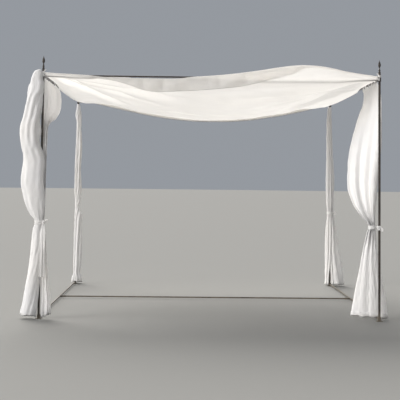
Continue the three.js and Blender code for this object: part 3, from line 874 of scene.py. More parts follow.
@dataclass
class Curtain:
    """A sheet of voile, gathered at its post."""

    name: str
    corner: Corner
    levels: Array
    folds: float
    seed: int
    section: Section = Section.PANEL
    away: tuple[int, int] = (0, 1)  # the side of the post to which the cloth keeps
    waist: Waist | None = None
    heading: int = 0  # small gathers along the top edge
    heading_swing: float = 0.006  # how far they stand out
    heading_dip: float = 0.012  # how far the edge hangs between them
    heading_reach: tuple[float, float] = (0.09, 0.05)  # how far down each of the two goes
    crown: float = 0.0  # how much the top stands up between its ends
    crown_reach: tuple[float, float] = (0.16, 0.12)  # how far down, on a panel and on a bundle
    fine_folds: float = 0.06  # height of the fine folds
    fine_pace: float = 3.1  # times as many of them as of the broad ones
    gathers: float = 5.0  # times as many folds at the sash as elsewhere
    gather_reach: float = 0.10
    gather_calm: float = 0.75  # share of the other folds that the sash takes away
    gather_height: float = 0.6
    gather_drift: float = 0.3
    crumple: float = 0.0016  # height of the small creases all over it
    skirt_calm: float = 0.0  # how much smoother it is below its sash
    skirt_start: tuple[float, float] = (0.06, 0.30)  # how far below the sash that sets in
    front_folds: float = 0.07  # share of a bundle's depth
    back_folds: float = 0.5
    fold_pace: float = 0.25  # folds for each of its folds that cross a bundle's half width
    fold_twist: float = 0.08
    drawn_reach: float = 0.22  # how far from the sash a bundle's folds run towards it
    edge_tuck: float = 0.30  # how much a bundle's two edges are tucked in
    edge_share: float = 0.06  # share of its width that this takes
    panel_edge: float = 5.0  # how late the folds of a panel die out towards its edges
    panel_arch: float = 2.4  # the same for its bulge
    crumple_pace: tuple[float, float, float] = (9.0, 1.1, 6.5)
    hem_ripple: float = 0.007
    hem_pace: float = 4.0
    hem_reach: float = 0.3
    columns: int = 150
    rows: int = 150
    hem_rows: int = 3
    ease: float = 0.003  # rounding where the cloth meets steel
    post_room: float = 0.0135
    socket_room: float = 0.0185
    socket_height: float = 0.052
    rail_room: float = 0.041
    rail_half: float = 0.014
    rail_reach: float = 0.02  # how far past the post's axis the base rail counts
    rail_slope: float = 1.2  # how steeply the cloth comes down beside it
    post_slope: float = 0.9
    post_margin: float = 0.004
    wrap_room: float = 0.018
    wrap_depth: float = 0.017  # of the folds of a wrapped sheet
    wrap_lap: float = 0.003  # how far its upper edge lies over the lower one
    wrap_least: float = 0.001  # the least that is left between it and its post
    wrap_folds: tuple[float, float] = (0.55, 0.45)  # how full it is, and how much its folds change that

    def _waves(self, across: Array, down: Array, height: Array) -> Array:
        """Adds up the folds: broad ones, fine ones and small ones near the sash.

        Args:
            across: Shares of the sheet's width.
            down: Lengths along it, from its top.
            height: Heights above the ground.

        Returns:
            How far the cloth swings out, mostly between -1 and 1.
        """
        broad = Pleats(self.folds, self.seed)(across, down)
        fine = Pleats(self.folds * self.fine_pace, self.seed + 1)(across, down)
        total = broad + self.fine_folds * fine
        if self.waist:
            sash = self.waist.middle[2]
            close = np.exp(-np.abs(height - sash) / self.gather_reach)
            small = Pleats(self.folds * self.gathers, self.seed + 2)(across, self.gather_drift * down)
            total = total * (1 - self.gather_calm * close) + self.gather_height * close * small
            total = total * (1 - self.skirt_calm * smooth_step(sash - height, *self.skirt_start))
        return total

    @staticmethod
    def _ways(values: Array) -> tuple[Array, ...]:
        """Reads the two sides of each level.

        Args:
            values: One level for each row of the sheet.

        Returns:
            The near and the far side, half the width between them and, seen from above, the way from one
            to the other and the way square to it.
        """
        near, far = values[:, None, 0:3], values[:, None, 3:6]
        half = (far - near)[..., :2] / 2
        length = np.linalg.norm(half, axis=-1)
        axis = half / length[..., None]
        return near, far, length, axis, np.stack([-axis[..., 1], axis[..., 0]], axis=-1)

    def _beside(self, values: Array, across: Array, down: Array) -> Array:
        """Lays out a sheet that hangs beside its post.

        Args:
            values: One level for each row.
            across: Shares of the sheet's width.
            down: Lengths along it, from its top.

        Returns:
            Its points.
        """
        near, far, _, _, side = self._ways(values)
        depth, arch = values[:, None, 6], values[:, None, 7]
        ends = np.abs(2 * across - 1)
        waves = self._waves(across, down, (near + far)[..., 2] / 2)
        swing = depth * np.sqrt(np.clip(1 - ends**self.panel_edge, 0.0, 1.0)) * waves
        swing = swing + arch * np.sqrt(np.clip(1 - ends**self.panel_arch, 0.0, 1.0))
        if self.heading:
            gathers = np.exp(-down / self.heading_reach[0]) * np.sin(math.tau * self.heading * across)
            swing = swing + self.heading_swing * gathers
        points = near + (far - near) * across[..., None]
        points[..., :2] += side * swing[..., None]
        if self.heading:
            scallop = np.cos(math.pi * self.heading / 2 * across) ** 2
            points[..., 2] -= self.heading_dip * scallop * np.exp(-down / self.heading_reach[1])
        points[..., 2] += self.crown * (1 - ends**2) * np.exp(-((down / self.crown_reach[0]) ** 2))
        return points

    def _rolled(self, values: Array, across: Array, down: Array) -> Array:
        """Lays out a sheet that hangs as a bundle, smooth in front and with deep folds behind.

        Args:
            values: One level for each row.
            across: Shares of the sheet's width.
            down: Lengths along it, from its top.

        Returns:
            Its points.
        """
        near, far, length, axis, side = self._ways(values)
        middle, lean = (near + far) / 2, (far - near)[..., 2] / 2
        depth, turn, cover = values[:, None, 6], np.radians(values[:, None, 8]), values[:, None, 9]
        angle = turn + math.tau * ((1 - cover) / 2 + cover * across)
        back = (0.5 + 0.5 * np.cos(angle - turn)) ** 1.5
        drawn = 0.0
        if self.waist:
            drawn = np.exp(-np.abs(middle[..., 2] - self.waist.middle[2]) / self.drawn_reach)
        aside = (middle[..., 0] - middle[..., 0].mean()) * (1 - drawn) + length * np.cos(angle)
        widest = drawn * length + (1 - drawn) * length.max()
        place = self.fold_pace * aside / widest + self.fold_twist * across
        reach = 1 + self._waves(place, down, middle[..., 2]) * (self.front_folds + self.back_folds * back)
        edge = np.minimum(across, 1 - across) / self.edge_share
        reach = reach * (1 - self.edge_tuck * np.exp(-(edge**2)))
        run = (length * np.cos(angle) * (0.5 + 0.5 * reach))[..., None] * axis
        out = (depth * np.sin(angle) * reach)[..., None] * side
        height = middle[..., 2:] + (np.cos(angle) * lean)[..., None]
        points = np.concatenate([middle[..., :2] + run + out, height], axis=-1)
        points[..., 2] += self.crown * np.sin(angle) * np.exp(-((down / self.crown_reach[1]) ** 2))
        return points

    def _around(self, values: Array, across: Array, down: Array) -> Array:
        """Lays out a sheet that is wrapped round its post.

        Args:
            values: One level for each row.
            across: Shares of the sheet's width.
            down: Lengths along it, from its top.

        Returns:
            Its points, which lie on ovals round the levels' middles and never reach into the post.
        """
        near, far, wide, _, _ = self._ways(values)
        x, y, z = np.moveaxis((near + far) / 2, -1, 0)
        deep, turn, cover = values[:, None, 6], values[:, None, 8], values[:, None, 9]
        angle = np.radians(turn) + math.tau * ((1 - cover) / 2 + cover * across)
        dx, dy = np.cos(angle), np.sin(angle)
        a = (dx / wide) ** 2 + (dy / deep) ** 2
        b = -2 * (dx * x / wide**2 + dy * y / deep**2)
        c = (x / wide) ** 2 + (y / deep) ** 2 - 1
        outer = (-b + np.sqrt(np.maximum(b * b - 4 * a * c, 0.0))) / (2 * a)
        outer = np.maximum(outer, self.wrap_room + self.wrap_least)
        inner = np.maximum(self.wrap_room, outer - self.wrap_depth)
        full, change = self.wrap_folds
        share = np.clip(full + change * self._waves(across, down, z), 0.0, 1.0)
        reach = inner + (outer - inner) * share + self.wrap_lap * (2 * across - 1)
        return np.stack([reach * dx, reach * dy, np.broadcast_to(z, reach.shape)], axis=-1)

    def _clear_of_post(self, points: Array) -> Array:
        """Keeps the cloth on its own side of the post and its sockets.

        Args:
            points: The sheet's points.

        Returns:
            The points, none of them in the steel.
        """
        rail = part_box("top_rail_front")[0].z
        height = points[..., 2]
        wide = (height < self.socket_height) | (height > rail - self.rail_reach)
        room = np.where(wide, self.socket_room, self.post_room)
        along = 1 if self.away[1] else 0
        sign = self.away[along]
        aside = np.abs(points[..., 1 - along])
        floor = room - self.post_slope * np.maximum(aside - room - self.post_margin, 0.0)
        points[..., along] = sign * at_least(sign * points[..., along], floor, self.ease)
        return points

    def _over_base_rail(self, points: Array) -> Array:
        """Lifts the hem where it lies on the base rail.

        Args:
            points: The sheet's points.

        Returns:
            The points, none of them in the rail.
        """
        inwards = -self.corner.value[1]
        beside = np.maximum(np.abs(points[..., 0]) - self.rail_half, 0.0)
        over = points[..., 1] * inwards > -self.rail_reach
        floor = np.where(over, self.rail_room - self.rail_slope * beside, BELOW_GROUND)
        points[..., 2] = at_least(points[..., 2], floor, self.ease)
        return points

    def points(self) -> Array:
        """Lays out the sheet, from the foot of its post.

        Returns:
            Its rows and columns, with its hem folded back.
        """
        middle = (self.levels[:, :3] + self.levels[:, 3:6]) / 2
        knots = run_along(middle)
        down = np.linspace(0, knots[-1], self.rows)
        values = smooth_through(knots, self.levels, down)
        across, down = np.linspace(0, 1, self.columns)[None, :], down[:, None]
        shapes = {
            Section.PANEL: self._beside,
            Section.BUNDLE: self._rolled,
            Section.WRAPPED: self._around,
        }
        points = shapes[self.section](values, across, down)
        if self.waist:
            points = self.waist.hold(points)
        wide, slant, tall = self.crumple_pace
        creases = Wander(self.seed + 5, 11)(across * wide + down * slant, down * tall)
        points = points + normals_of(points) * (self.crumple * creases)[..., None]
        if self.section is not Section.WRAPPED:
            points = self._clear_of_post(points)
        ripple = 1 + Wander(self.seed + 3)(across * self.hem_pace, down * 0.0)
        low = smooth_step(down, knots[-1] - self.hem_reach, knots[-1])
        points[..., 2] += self.hem_ripple * low * ripple
        return with_hem(self._over_base_rail(points), self.hem_rows)

    def build(self, material: bpy.types.Material) -> Piece:
        """Makes the sheet and puts it on the frame.

        Args:
            material: Its finish.

        Returns:
            The sheet.
        """
        points = self.points()
        place = points + self.corner.post()
        piece = cloth_piece(f"{self.name}_sheet", place, material, "curtain_cloth", self.name)
        cut_of(piece, points)
        return piece


@dataclass(frozen=True)
class Ray:
    """Folds that fan out from a tied corner of the roof sheet."""

    corner: Corner
    waves: float  # for each radian round the corner
    height: float
    reach: float
    seed: int
    grown: tuple[float, float] = (0.04, 0.55)  # how far from the corner the folds set in
    wander: float = 0.10  # how far they stray, in radians
    sharp: float = 0.45  # how flat their crests and troughs are
    uneven: float = 0.38  # how much their height changes

    def lift(self, x: Array, y: Array) -> Array:
        """Shapes the folds.

        Args:
            x: Places on the sheet along X.
            y: The same along Y.

        Returns:
            How high they stand there.
        """
        (side, end), post = self.corner.value, self.corner.post()
        along, across = (post[0] - x) * side, (post[1] - y) * end
        distance, angle = np.hypot(along, across), np.arctan2(across, along)
        bend = Wander(self.seed)(angle * 0.8, distance * 0.4)
        wave = np.sin(self.waves * (angle + self.wander * bend) + self.seed)
        crest = (1 - self.sharp) * wave + self.sharp * np.sign(wave) * np.abs(wave) ** 0.6
        noise = Wander(self.seed + 100)(angle * 1.3, distance * 0.5)
        uneven = (1 - self.uneven) + self.uneven * noise
        grown = smooth_step(distance, *self.grown)
        return self.height * grown * np.exp(-((distance / self.reach) ** 2)) * uneven * crest


@dataclass(frozen=True)
class Crease:
    """One long fold of the roof sheet, from a point to a point seen from above."""

    start: tuple[float, float]
    end: tuple[float, float]
    height: float
    width: float
    bow: float = 0.0
    narrow: float = 0.35  # share of the width that it has at its start
    trough: float = 1.1  # how deep the troughs beside it are
    fades: tuple[float, float, float] = (0.22, 0.62, 1.08)  # where it is full, sinks and is gone

    def lift(self, x: Array, y: Array) -> Array:
        """Shapes the fold: a soft crest with a shallow trough on either side.

        Args:
            x: Places on the sheet along X.
            y: The same along Y.

        Returns:
            How high it stands there.
        """
        start = np.array(self.start)
        way = np.array(self.end) - start
        length = float(np.linalg.norm(way))
        way = way / length
        along = ((x - start[0]) * way[0] + (y - start[1]) * way[1]) / length
        off = (y - start[1]) * way[0] - (x - start[0]) * way[1]
        off = off - self.bow * 4 * along * (1 - along)
        share = off / (self.width * (self.narrow + (1 - self.narrow) * np.clip(along, 0.0, 1.0)))
        shape = (1 - self.trough * share**2) * np.exp(-(share**2) / self.trough)
        risen, sinks, gone = self.fades
        ends = smooth_step(along, 0.0, risen) * (1 - smooth_step(along, sinks, gone))
        return self.height * shape * ends


@dataclass
class Canopy:
    """The roof sheet: tied at the four posts and sagging between them.

    It runs under the front rail. Its margin stands up in front of that rail at either side and hangs just
    below it left of the middle, and most of it has a flap that is turned down forwards.
    """

    palette: Palette
    sag: float = 0.09
    fold_radius: float = 0.006
    rise: tuple[float, float] = (2.486, 2.506)  # ridge heights at which the margin comes before its rail
    passing: tuple[float, float] = (-1.776, 2.500)  # where it passes the rail
    passing_behind: float = 0.004  # how far behind its ridge that is, at most
    passing_free: float = 0.026  # how much further forward that is away from the posts
    turning: tuple[float, float] = (-1.768, 2.482)  # where it turns up
    turning_behind: float = 0.012
    turning_free: float = 0.018
    slack: float = 0.042  # how much lower it turns away from the posts
    slack_change: float = 0.012
    free_ends: tuple[float, float] = (1.25, 1.68)  # how far from the middle these moves die out
    valance: float = 0.075  # depth of the back hem, which hangs straight down
    valance_ends: tuple[float, float] = (1.25, 1.71)  # how far out along the hem it shrinks to nothing
    valance_lean: float = 0.05  # how far out it hangs, as a share of its depth
    valance_sway: float = 0.10
    valance_belly: float = 0.10
    flap_lean: float = 0.05  # how far out the flap hangs, as a share of its depth
    flap_sway: float = 1.3  # how much that changes
    flap_curl: float = 0.014
    flap_curl_start: tuple[float, float] = (0.03, 0.10)  # depths over which its curl sets in
    front_calm: float = 0.06  # share of the sheet over which its folds set in at the front
    side_calm: float = 0.05  # the same at its sides
    back_calm: float = 0.90  # share of the sheet after which they fade
    back_fade: float = 0.7  # by so much
    swags: float = 0.012  # height of the soft folds along the back
    swag_count: float = 2.6
    swag_bow: float = 0.05
    swag_start: tuple[float, float] = (-1.2, 0.8)  # where along Y they set in
    ripples: tuple[float, float] = (0.006, 0.0025)  # height of the broad and the small uneven places
    columns: int = 212
    rows: int = 168
    hem_rows: int = 7
    soft_rows: int = 14  # rows over which the turn below the rail is eased
    soft_passes: int = 30
    soft_pull: float = 0.8
    front_left: Point = (-1.727, -1.748, 2.482)
    front_right: Point = (1.727, -1.748, 2.482)
    back_left: Point = (-1.735, 1.735, 2.526)
    back_right: Point = (1.735, 1.735, 2.526)
    ridge: Sequence[Point] = metres(
        (-1738, -1768, 2532), (-1600, -1770, 2523), (-1450, -1771, 2516), (-1300, -1771, 2508),
        (-1200, -1770, 2498), (-1100, -1769, 2490), (-950, -1768, 2485), (-750, -1767, 2483),
        (-480, -1767, 2482), (-330, -1769, 2486), (-250, -1772, 2497), (-150, -1776, 2507),
        (18, -1784, 2518), (256, -1796, 2542), (499, -1806, 2576), (707, -1812, 2610), (832, -1814, 2627),
        (968, -1814, 2635), (1072, -1812, 2631), (1187, -1806, 2619), (1438, -1790, 2570),
        (1738, -1769, 2531),
    )
    hem: Sequence[tuple[float, float]] = metres(
        (-1738, 2516), (-1450, 2499), (-1300, 2488), (-1150, 2470), (-1000, 2446), (-860, 2408),
        (-740, 2366), (-640, 2345), (-541, 2340), (-336, 2349), (-69, 2364), (280, 2401), (444, 2434),
        (615, 2481), (838, 2542), (962, 2604), (1060, 2614), (1400, 2563), (1738, 2518),
    )
    front: Sequence[Point] = metres(
        (-1450, -1744, 2470), (-1100, -1740, 2471), (-750, -1738, 2472), (-300, -1739, 2464),
        (0, -1740, 2444), (280, -1740, 2430), (1000, -1740, 2428), (1400, -1742, 2444),
        (1600, -1745, 2468),
    )
    back: Sequence[Point] = metres(
        (-1450, 1730, 2460), (-1171, 1726, 2397), (-894, 1722, 2340), (-616, 1719, 2293),
        (-339, 1717, 2257), (-61, 1716, 2241), (147, 1716, 2240), (424, 1717, 2249), (632, 1719, 2268),
        (840, 1721, 2297), (1048, 1724, 2333), (1326, 1728, 2396), (1530, 1731, 2450),
    )
    left: Sequence[Point] = metres(
        (-1731, -1700, 2490), (-1743, -1450, 2513), (-1743, -1000, 2513), (-1739, -750, 2507),
        (-1739, -560, 2487), (-1760, -350, 2485), (-1763, 400, 2484), (-1762, 1150, 2485),
        (-1738, 1500, 2484), (-1734, 1640, 2500),
    )
    right: Sequence[Point] = metres(
        (1731, -1700, 2490), (1734, -1450, 2500), (1734, -1100, 2502), (1732, -750, 2498),
        (1738, -560, 2486), (1760, -350, 2484), (1762, 400, 2482), (1761, 1150, 2484), (1738, 1500, 2482),
        (1734, 1640, 2498),
    )
    rays: Sequence[Ray] = (
        Ray(Corner.FRONT_LEFT, 9.0, 0.044, 2.0, 11),
        Ray(Corner.FRONT_LEFT, 20.0, 0.013, 1.7, 13),
        Ray(Corner.FRONT_RIGHT, 10.0, 0.050, 1.9, 23),
        Ray(Corner.FRONT_RIGHT, 21.0, 0.018, 1.8, 29),
        Ray(Corner.BACK_LEFT, 12.0, 0.020, 1.2, 37),
        Ray(Corner.BACK_RIGHT, 12.0, 0.020, 1.2, 41),
    )
    creases: Sequence[Crease] = (
        Crease((-1.70, -1.66), (-0.10, -0.55), 0.054, 0.150, 0.10),
        Crease((-1.70, -1.60), (-0.35, 0.15), 0.046, 0.130, 0.08),
        Crease((-1.68, -1.50), (-0.80, 0.70), 0.034, 0.110, 0.04),
        Crease((-1.60, -1.70), (-0.20, -1.25), 0.020, 0.080, 0.03),
        Crease((1.70, -1.66), (0.35, -0.75), 0.058, 0.140, -0.10),
        Crease((1.70, -1.60), (0.50, -0.10), 0.050, 0.130, -0.08),
        Crease((1.69, -1.50), (0.90, 0.60), 0.038, 0.110, -0.04),
        Crease((1.64, -1.70), (0.60, -1.30), 0.022, 0.080, -0.03),
        Crease((-1.30, 0.95), (1.20, 1.05), 0.044, 0.100, 0.10),
        Crease((-1.50, 1.30), (1.45, 1.36), 0.038, 0.100, 0.08),
        Crease((-0.95, 0.45), (0.60, 0.52), 0.042, 0.070, 0.05),
    )

    def _edge(self, points: Sequence[Point], axis: int, share: Array) -> Array:
        """Reads an edge of the sheet.

        Args:
            points: The edge's points.
            axis: The axis along which it runs.
            share: Shares of its span.

        Returns:
            A point for each share.
        """
        line = np.array(points)
        span = line[:, axis]
        return smooth_through(span, line, span[0] + (span[-1] - span[0]) * share)

    def _patch(self, u: Array, v: Array) -> Array:
        """Stretches the sheet's smooth surface between its four edges.

        Args:
            u: Shares of the way from left to right.
            v: Shares of the way from front to back.

        Returns:
            Its rows and columns of points.
        """
        a, b, c, d = map(np.array, (self.front_left, self.front_right, self.back_left, self.back_right))
        front = self._edge((a, *self.front, b), 0, u)[None, :, :]
        back = self._edge((c, *self.back, d), 0, u)[None, :, :]
        back[..., 2] += self._hanging(back[..., 0])
        left = self._edge((a, *self.left, c), 1, v)[:, None, :]
        right = self._edge((b, *self.right, d), 1, v)[:, None, :]
        u, v = u[None, :, None], v[:, None, None]
        ruled = front * (1 - v) + back * v + left * (1 - u) + right * u
        pinned = a * (1 - u) * (1 - v) + b * u * (1 - v) + c * (1 - u) * v + d * u * v
        sheet = ruled - pinned
        sheet[..., 2] -= self.sag * (np.sin(math.pi * u) * np.sin(math.pi * v))[..., 0]
        return sheet

    def _hanging(self, x: Array) -> Array:
        """How deep the back hem hangs at each place along it: not at all at its tied corners."""
        return self.valance * (1 - smooth_step(np.abs(x), *self.valance_ends))

    def _tension(self, points: Array) -> Array:
        """Adds up the sheet's folds: fans from the tied corners, long creases and soft swags at its back.

        Args:
            points: The smooth sheet.

        Returns:
            How high the folds stand at each point.
        """
        x, y = points[..., 0], points[..., 1]
        lift = sum(fold.lift(x, y) for fold in (*self.rays, *self.creases))
        swags = Pleats(self.swag_count, 53)((y + SIDE / 2) / SIDE + self.swag_bow * x * x, 0.7 * x)
        lift += self.swags * swags * smooth_step(y, *self.swag_start)
        broad, small = self.ripples
        return lift + broad * Wander(59, 9)(x * 0.7, y * 1.5) + small * Wander(61, 9)(x * 2.6, y * 3.4)

    def _sheet(self) -> Array:
        """Lays out the sheet, with folds that die out at its edges.

        Returns:
            Its points, from the front edge to the back edge and down its hanging hem.
        """
        u = np.linspace(0, 1, self.columns)
        v = np.linspace(0, 1, self.rows)
        points = self._patch(u, v)
        back = 1 - self.back_fade * smooth_step(v, self.back_calm, 1.0)
        sides = smooth_step(u, 0.0, self.side_calm) * (1 - smooth_step(u, 1 - self.side_calm, 1.0))
        calm = (smooth_step(v, 0.0, self.front_calm) * back)[:, None] * sides[None, :]
        points[..., 2] += self._tension(points) * calm
        edge = points[-1]
        deep = self._hanging(edge[:, 0])
        sway = Wander(67)(edge[:, 0] * 2.2, 0.0 * deep)
        hanging = []
        for share in np.linspace(0, 1, self.hem_rows + 1)[1:]:
            belly = self.valance_belly * math.sin(math.pi * share)
            out = deep * (self.valance_lean + self.valance_sway * share * sway + belly)
            hanging.append(edge + np.stack([0 * deep, out, -deep * share - 0.0005 * share], axis=1))
        return np.concatenate([points, np.stack(hanging)])

    def _margin(self, edge: Array) -> Array:
        """Lays out the front margin from the flap's hem, over the ridge and down in front of the rail.

        Args:
            edge: The front edge of the rest of the sheet.

        Returns:
            Its rows, down to the one before that edge.
        """
        ridge = self._edge(self.ridge, 0, np.linspace(0, 1, self.columns))
        x, radius = ridge[:, 0], self.fold_radius
        risen = smooth_step(ridge[:, 2], *self.rise)[:, None]
        hem = np.array(self.hem)
        drop = ridge[:, 2] - radius - smooth_through(hem[:, 0], hem[:, 1:], x)[:, 0]

        def wander(seed: int, pace: float) -> Array:
            """Smooth noise along the ridge."""
            return Wander(seed)(x * pace, 0.0 * x)

        def beside(y: float | Array, z: float | Array) -> Array:
            """The ridge's points, moved by y and z."""
            return ridge + np.stack([0 * x, y + 0 * x, z + 0 * x], axis=1)

        def between(share: float, raised: Array) -> Array:
            """A line between the ridge and the edge, or the raised one where the margin rises."""
            level = ridge + (edge - ridge) * share
            return level + (raised - level) * risen

        lean = self.flap_lean * drop * (1 + self.flap_sway * wander(71, 1.9))
        curl = self.flap_curl * smooth_step(drop, *self.flap_curl_start) * wander(73, 3.1)
        free = risen[:, 0] * (1 - smooth_step(np.abs(x), *self.free_ends))
        passing, turning = (ridge + edge) / 2, (ridge + edge) / 2
        passing[:, 1] = np.minimum(self.passing[0], ridge[:, 1] + self.passing_behind)
        passing[:, 1] -= free * self.passing_free * (1 + 0.5 * wander(83, 1.3))
        passing[:, 2] = self.passing[1]
        turning[:, 1] = np.minimum(self.turning[0], ridge[:, 1] + self.turning_behind)
        turning[:, 1] -= free * self.turning_free
        turning[:, 2] = self.turning[1] - free * (self.slack + self.slack_change * wander(79, 1.6))
        steps = {
            0: beside(-radius - lean, -radius - drop),
            8: beside(-radius - 0.3 * lean - np.abs(curl), -radius - 0.5 * drop),
            16: beside(-radius, -radius),
            18: beside(-0.7 * radius, -0.3 * radius),
            20: ridge,
            22: between(0.15, beside(0.5 * radius, -0.3 * radius)),
            24: between(0.3, beside(0.7 * radius, -radius)),
            32: between(0.55, passing),
            36: between(0.75, turning),
            42: edge,
        }
        knots = np.array(list(steps), dtype=float)
        line = np.stack(list(steps.values())).reshape(len(steps), -1)
        rows = smooth_through(knots, line, np.arange(0, knots[-1]))
        return rows.reshape(-1, self.columns, 3)

    def _eased(self, points: Array, turn: int) -> Array:
        """Rounds the turn below the front rail.

        Args:
            points: The whole sheet.
            turn: The row where the margin joins the rest.

        Returns:
            The sheet, with the rows round the turn drawn towards their neighbours.
        """
        share = np.exp(-(((np.arange(len(points)) - turn + 2) / self.soft_rows) ** 2))[:, None, None]
        eased = points.copy()
        for _ in range(self.soft_passes):
            calm = eased.copy()
            calm[1:-1] = (eased[:-2] + eased[2:]) / 2
            eased = eased + (calm - eased) * self.soft_pull * share * (share > 0.05)
        return eased

    def build(self) -> Piece:
        """Makes the sheet and puts it on the frame.

        Returns:
            The sheet.
        """
        sheet = self._sheet()
        margin = self._margin(sheet[0])
        points = self._eased(np.concatenate([margin, sheet]), len(margin))
        points = with_hem(points, self.hem_rows)
        piece = cloth_piece("canopy_sheet", points, self.palette.canopy, "canopy_cloth", "canopy")
        cut_of(piece, points)
        return piece


def strip(centre: Array, width: Array, ribs: int, relief: float, seed: int) -> Array:
    """Lays out a creased strip of cloth along a line.

    Args:
        centre: The points of the line.
        width: At each of them, the way from one edge of the strip to the other.
        ribs: How many creases run along it.
        relief: How high they stand.
        seed: Number that fixes their wandering.

    Returns:
        Rows and columns of points; the rows follow the line.
    """
    share = np.linspace(-0.5, 0.5, ribs * RIB_COLUMNS)[None, :]
    flat = centre[:, None, :] + width[:, None, :] * share[..., None]
    along = np.linspace(0, len(centre) / 20, len(centre))[:, None]
    stray = RIB_STRAY * Wander(seed)(share * 2, along * 0.6)
    ends = np.sqrt(np.clip(1 - (2 * share) ** 4, 0, 1))
    height = relief * np.sin(math.tau * ribs * share + stray) * ends
    return flat + normals_of(flat) * height[..., None]


def ring(x: Array, y: Array, z: Array, width: float | Array, axis: int) -> tuple[Array, Array]:
    """Lines up a strip that goes round something.

    Args:
        x: Where its middle line runs, along X.
        y: The same along Y.
        z: The same along Z.
        width: How wide it is at each point.
        axis: The axis along which that width lies.

    Returns:
        The line and, at each point, the way from one edge to the other.
    """
    centre = np.stack([x, y, z], axis=1)
    ways = np.zeros_like(centre)
    ways[:, axis] = width
    return centre, ways


def knot(
    name: str, centre: Sequence[float], size: float, seed: int, material: bpy.types.Material
) -> Piece:
    """Ties a crumpled knot and puts it on the frame.

    Args:
        name: The piece's name.
        centre: Where it is.
        size: About half its width.
        seed: Number that fixes its lumps.
        material: Its finish.

    Returns:
        The knot.
    """
    shape = bmesh.new()
    bmesh.ops.create_icosphere(shape, subdivisions=5, radius=1.0)
    lumps, pleats = Wander(seed), Wander(seed + 1)
    deep, tall = KNOT_SHAPE
    for vertex in shape.verts:
        x, y, z = vertex.co
        turn = math.atan2(y, x)
        fold = KNOT_FOLD * math.sin(KNOT_PLEATS * turn + 4 * z + 2 * float(pleats(x, z)))
        wide = size * (1 + fold + KNOT_LUMP * float(lumps(x * 0.7, y * 0.7 + z)))
        vertex.co = Vector((x * wide, y * wide * deep, z * wide * tall))
    bmesh.ops.translate(shape, vec=centre, verts=shape.verts)
    return settle_piece(own_mesh(name, shape, material), "sash_cloth")


def loose_end(path: Sequence[Point], width: float, seed: int) -> Array:
    """Lays out a loose end of a strip.

    Args:
        path: The points that its middle line runs through.
        width: How wide it is where it hangs free.
        seed: Number that fixes its twist and creases.

    Returns:
        Rows and columns of points.
    """
    line = np.array(path)
    knots = run_along(line)
    at = np.linspace(0, knots[-1], 60)
    centre = smooth_through(knots, line, at)
    opened = min(END_OPENING, knots[-1] * 0.6)
    spread = END_PINCH + (1 - END_PINCH) * smooth_step(at, 0.0, opened)
    twist = END_TWIST * np.sin(at * 9.0 + seed)
    way = np.stack([np.cos(twist), np.sin(twist), 0 * at], axis=1)
    relief = min(0.004, width * 0.08)
    return strip(centre, way * (width * spread)[:, None], 2, relief, seed)


@dataclass
class Sash:
    """A strip of voile that is tied round a gathered curtain, with its knot and loose ends."""

    name: str
    corner: Corner
    waist: Waist
    palette: Palette
    knot_angle: float
    width: float = 0.042
    knot_size: float = 0.018
    tails: Sequence[tuple[Sequence[Point], float]] = ()
    post_loop: bool = False
    loop_half: float = 0.0155  # half the width of the loop round the post
    loop_width: float = 0.8  # of its strip, for each of the band's widths
    loop_relief: float = 0.0012
    knot_room: float = 1.12  # how far out the knot sits, for each of the oval's radii
    room: float = 1.04  # the same for the band
    slack: float = 0.02  # how much wider it gets by its end
    lap: float = 1.03  # turns that it makes
    tilt: float = 0.004
    pinch: float = 0.3  # how much narrower it is at the knot
    pinch_reach: float = 0.35  # over this much of a turn, in radians
    ribs: int = 4
    relief: float = 0.0014
    seed: int = 5

    def _band(self) -> Array:
        """Lays out the strip once round the oval.

        Returns:
            Its rows and columns of points.
        """
        turns = np.linspace(0, math.tau * self.lap, 90) + self.knot_angle
        x, y = self.waist.around(turns, self.room + self.slack * np.linspace(0, 1, len(turns)))
        z = self.waist.middle[2] + self.tilt * np.sin(turns + 0.7)
        size = self.width
        for end in (turns[0], turns[-1]):
            size = size * (1 - self.pinch * np.exp(-(((turns - end) / self.pinch_reach) ** 2)))
        return strip(*ring(x, y, z, size, 2), self.ribs, self.relief, self.seed)

    def _piece(self, part: str, points: Array, *nodes: str) -> Piece:
        """One part of the sash, on the frame."""
        place = points + self.corner.post()
        return cloth_piece(f"{self.name}_{part}", place, self.palette.sash, "sash_cloth", *nodes)

    def build(self, curtain: Piece) -> None:
        """Makes the band, the knot and the loose ends, and puts them on the frame.

        Args:
            curtain: The sheet that it is tied round; not used.
        """
        x, y = self.waist.around(self.knot_angle, self.knot_room)
        spot = np.array([x, y, self.waist.middle[2]]) + self.corner.post()
        points = self._band()
        band = self._piece("band", points, self.name)
        tied = knot(f"{self.name}_knot", spot, self.knot_size, self.seed + 7, self.palette.sash)
        for index, (path, width) in enumerate(self.tails):
            tail = loose_end(path, width, self.seed + index)
            piece = self._piece(f"end_{index + 1}", tail)
            cut_of(piece, tail)
        if self.post_loop:
            loop = self._post_loop()
            piece = self._piece("loop", loop)
            cut_of(piece, loop)
        cut_of(band, points)

    def _post_loop(self) -> Array:
        """Lays out the strip from the curtain to the post and once round it.

        Returns:
            Its rows and columns of points.
        """
        half, (x, y, z) = self.loop_half, self.waist.middle
        turns = ((-1, -0.8), (-1, -1), (1, -1), (1, 1), (-1, 1), (-1, -0.4))
        start = (x + self.waist.radii[0], y - 0.01, z)
        line = np.array([start, *((half * a, half * b, z) for a, b in turns)])
        knots = run_along(line)
        centre = smooth_through(knots, line, np.linspace(0, knots[-1], 80))
        line = ring(*centre.T, self.width * self.loop_width, 2)
        return strip(*line, 3, self.loop_relief, self.seed + 3)


